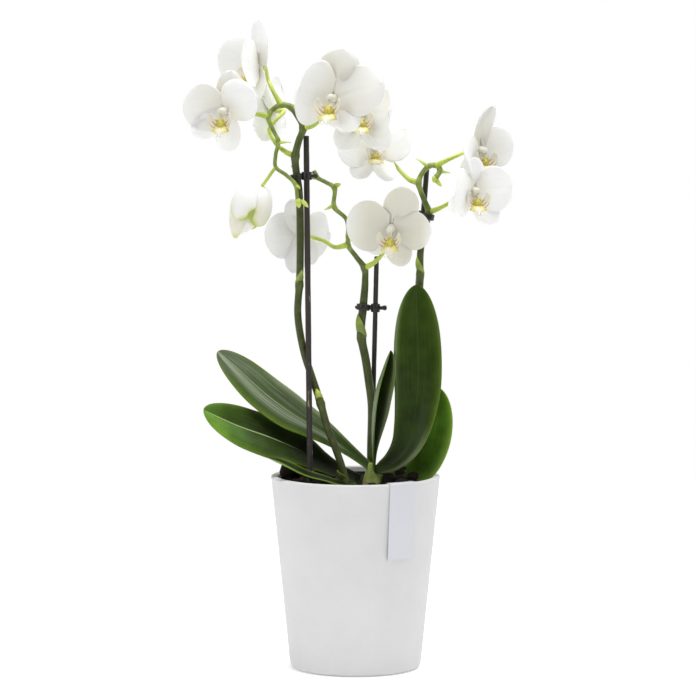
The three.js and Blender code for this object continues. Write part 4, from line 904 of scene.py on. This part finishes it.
def lip(size):
    """Side lobes rolled round midlines that climb beside the column; a middle lobe with shoulders, rounded
    down at its sides; a forked callus; and two tapering tendrils."""
    u, v = np.linspace(0, 1, LOBE_ROWS), np.linspace(0, 1, SHORT_ROWS)
    skins = []
    half_width = 4.5 * np.clip(np.sin(math.pi * (0.2 + 0.8 * u)), 0.02, 1) ** 0.6
    blush = 0.74 * (1 - smooth(u, 0.06, 0.32)) + 0.2 * (1 - smooth(u, 0.3, 0.8))
    lines = smooth(u, 0.04, 0.14) * (1 - smooth(u, 0.4, 0.65))
    for side in (1, -1):
        climb, thread = (route(np.multiply(line, [side, 1, 1]), LOBE_ROWS) for line in (SIDE_LOBE, TENDRIL))
        skins += [cupped(climb, [-side * 0.75, -0.66, 0.1], half_width, -8, 0.6, LOBE_COLUMNS, yellow=blush,
                         striped=lines),
                  tube(thread, 0.6 * (1 - u) ** 0.6 + 0.1, 8),
                  tube(np.linspace([side * 1.2, -9, -8], [side * 2.4, -12, -6.2], SHORT_ROWS),
                       1.3 * (1 - v ** 3) ** 0.5 + 0.05, 8, yellow=0.9, dotted=1)]
    s, t = np.meshgrid(np.linspace(-1, 1, MIDDLE_COLUMNS), np.linspace(0, 1, MIDDLE_ROWS))
    shoulder = bell(t - 0.45, 0.24)
    middle = np.stack([
        s * (2.6 * (1 - t) ** 0.5 + 5.2 * shoulder + 0.7), -8.5 - 8.6 * t - 0.4 * np.cos(3 * s),
        0.5 * bell(s, 0.25) - 10.2 - 8.4 * t ** 1.2 - 1.6 * s ** 2 * (0.4 + shoulder)], 2)
    skins += [shell(middle, 0.45 * np.sqrt(1 - s ** 4), s, t, striped=0.35 * (1 - smooth(t, 0.4, 0.7)),
                    yellow=0.68 * (1 - smooth(t - 0.3 * np.abs(s), 0.25, 0.75))),
              tube(np.linspace([0, -5.6, -1.8], [0, -7.4, -9.8], SHORT_ROWS), 1.2 + 1.2 * v, 10, yellow=0.3),
              tube(np.linspace([0, -6.4, -9.8], [0, -13, -10.2], SHORT_ROWS),
                   3.6 * np.sin(math.pi * (0.08 + 0.84 * v)) ** 0.6, 16, yellow=0.95, dotted=1)]
    return [{**s, "points": s["points"] * size} for s in skins]


# Lip tissue: thicker and waxier than the petals, egg yellow on its callus and middle lobe, with fine
# red-brown stripes on the side lobes and dots on the callus.
yellow_lip, tree, shader = new_material("yellow_lip_tissue")
place = add(tree, "TexCoord").node.outputs
yellow, striped, dotted = (add(tree, "Attribute", out="Fac", attribute_name=name)
                           for name in ("yellow", "striped", "dotted"))
squeezed = add(tree, "Mapping", place["UV"], Scale=(1.0, 0.25, 1.0))
stripes = add(tree, "TexWave", squeezed, 0.85, 1.6, out="Fac", bands_direction="X")
line = add(tree, "Math", add(tree, "MapRange", stripes, 0.78, 0.92, 0.0, 0.75), striped, operation="MULTIPLY")
dots = add(tree, "MapRange", add(tree, "TexVoronoi", place["Object"], Scale=900.0), 0.34, 0.22)
dot = add(tree, "Math", dots, dotted, operation="MULTIPLY")
tint = add(tree, "ValToRGB", yellow,
           stops=((0, "dfdcd1"), (0.2, "e6e0cb"), (0.45, "e5dfae"), (0.75, "d9d266"), (1, "c0b748")))
feed(shader, {"Base Color": add(tree, "Mix", dot, add(tree, "Mix", line, tint, "9c5f72"), "8a4a22"),
              "Roughness": 0.42, "Subsurface Weight": 0.15, "Subsurface Radius": (1.0, 0.8, 0.3),
              "Subsurface Scale": 0.002})

for n, bloom in BLOOMS.items():
    lobes = placed(lip(bloom.get("size", 1)), bloom)
    piece(f"lip_lobes_{n:02d}", lobes, yellow_lip, f"lip_{n:02d}")


# ------------------------ the bud
# The last large bud, just splitting: a hooded sepal over two side ones, with lime-green keels where
# they part.
BUD_LOBES = (
    ([[8, -1, 20.5], [0, -10, 16.5], [-6, -13.6, 8], [-7.5, -13.8, 0], [-5.1, -12.2, -7.4]],
     [-0.35, -1, 0.15], 15.5, 12.5, 0.45, 0.2),
    ([[9, 0, 20.5], [14, -5, 13], [14.5, -7.5, 3], [11, -9, -5], [3, -10.5, -10.5]],
     [0.8, -0.8, 0.0], 14.5, 12.5, 0.35, 0.8),
    ([[-6, 0, 14], [-12.5, -5, 4], [-13.2, -7.5, -8], [-11.5, -6, -22.3]],
     [-0.8, -0.75, -0.1], 13, 11.5, 0.75, 0.8),
    ([[7, 3, 20], [5, 11.5, 13], [2, 14, 2], [0, 11.5, -9], [-3, 5, -16]],
     [0.1, 1, 0], 17, 12.5, 0.7, 0.6))
BUD_ROWS, BUD_COLUMNS, CORE_ROWS = 40, 31, 44
BUD_CORE = [[8, 0, 20], [2, 1, 10], [-1.5, 0, -2], [-6, -2, -13], [-9.5, -3, -20]]


def bud_lobe(points, face, wide, bend, lime_from, green):
    """A sepal of the bud, rolled round its midline: half its width is a power of a sine. Its edges turn
    lime from the way along `lime_from`."""
    s, t = np.meshgrid(np.linspace(-1, 1, BUD_COLUMNS), np.linspace(0, 1, BUD_ROWS))
    half_width = wide * np.clip(np.sin(math.pi * (0.14 + 0.84 * t[:, 0])), 0.01, 1) ** 0.7
    lime = smooth(t, lime_from, lime_from + 0.3) * np.maximum(np.abs(s) ** 3, smooth(t, 0.85, 1)) * 0.95
    return cupped(route(points, BUD_ROWS), face, half_width, bend, 1.1, BUD_COLUMNS, lime=lime,
                  green=green * smooth(t, 0.1, 0.8))


u = np.linspace(0, 1, CORE_ROWS)
core = tube(route(BUD_CORE, CORE_ROWS), 12.4 * np.sin(math.pi * np.clip(u, 0.01, 0.99) ** 0.8) ** 0.62, 32,
            green=0.3, lime=0.9 * smooth(u, 0.15, 0.35) * (1 - smooth(u, 0.62, 0.8)))
parts = [*(bud_lobe(*lobe) for lobe in BUD_LOBES), core]
piece("bud_sepals", placed(parts, dict(at=BUD_AT)), white_petal, "bud")


# ------------------------ the card
# A strip of white coated card, folded over the rim by hand: a long flap outside, a short one inside.
# Its face stands a touch off the pot at the lower corners.
CARD_WIDTH, CARD_OUTER, CARD_INNER, CARD_THICK, CARD_BEND = 26, 63, 22, 0.6, 1.2
CARD_ANGLE = math.radians(-56)

# Coated card: smooth and white with a cool tint, a little shine, and a soft fibre that shows at an edge.
coated_card, tree, shader = new_material("coated_card")
fibre = add(tree, "TexNoise", add(tree, "TexCoord", out="Object"), 900.0, 4.0)
bump = add(tree, "Bump", Height=fibre, Strength=0.08, Distance=0.0002)
feed(shader, {"Base Color": add(tree, "Mix", fibre, "c8c9cf", "cecfd5"), "Normal": bump, "Roughness": 0.5,
              "Coat Weight": 0.15, "Coat Roughness": 0.35})

outside = POT_RIM + GAP + CARD_THICK / 2
inside = inner_rim - 0.5 - CARD_THICK / 2
lean = POT_TAPER * 0.85
top = POT_HEIGHT + GAP + CARD_THICK / 2
card_line = np.vstack([
    np.linspace([outside - lean * CARD_OUTER, top - CARD_OUTER], [outside, top - 1.4], 20),
    arc((outside - CARD_BEND, top - CARD_BEND), CARD_BEND, 0, 90, 6),
    arc((inside + CARD_BEND, top - CARD_BEND), CARD_BEND, 90, 180, 6),
    np.linspace([inside, top - 1.4], [inside - lean * CARD_INNER, top - CARD_INNER], 8)])
rows = edged(np.arange(len(card_line)))
s, t = np.meshgrid(edged(np.linspace(-1, 1, 13)), rows / rows[-1])
radius = card_line[rows, :1] + 0.9 * np.clip(1 - 2 * t, 0, 1) ** 2 * s ** 2
angle = CARD_ANGLE + s * CARD_WIDTH / 2 / POT_RIM
card_middle = np.stack([radius * np.cos(angle), radius * np.sin(angle), card_line[rows, 1:] + 0 * s], 2)
card = piece("card", [shell(card_middle, CARD_THICK / 2, s, t)], coated_card, "tag")
card.data.set_sharp_from_angle(angle=math.radians(40))
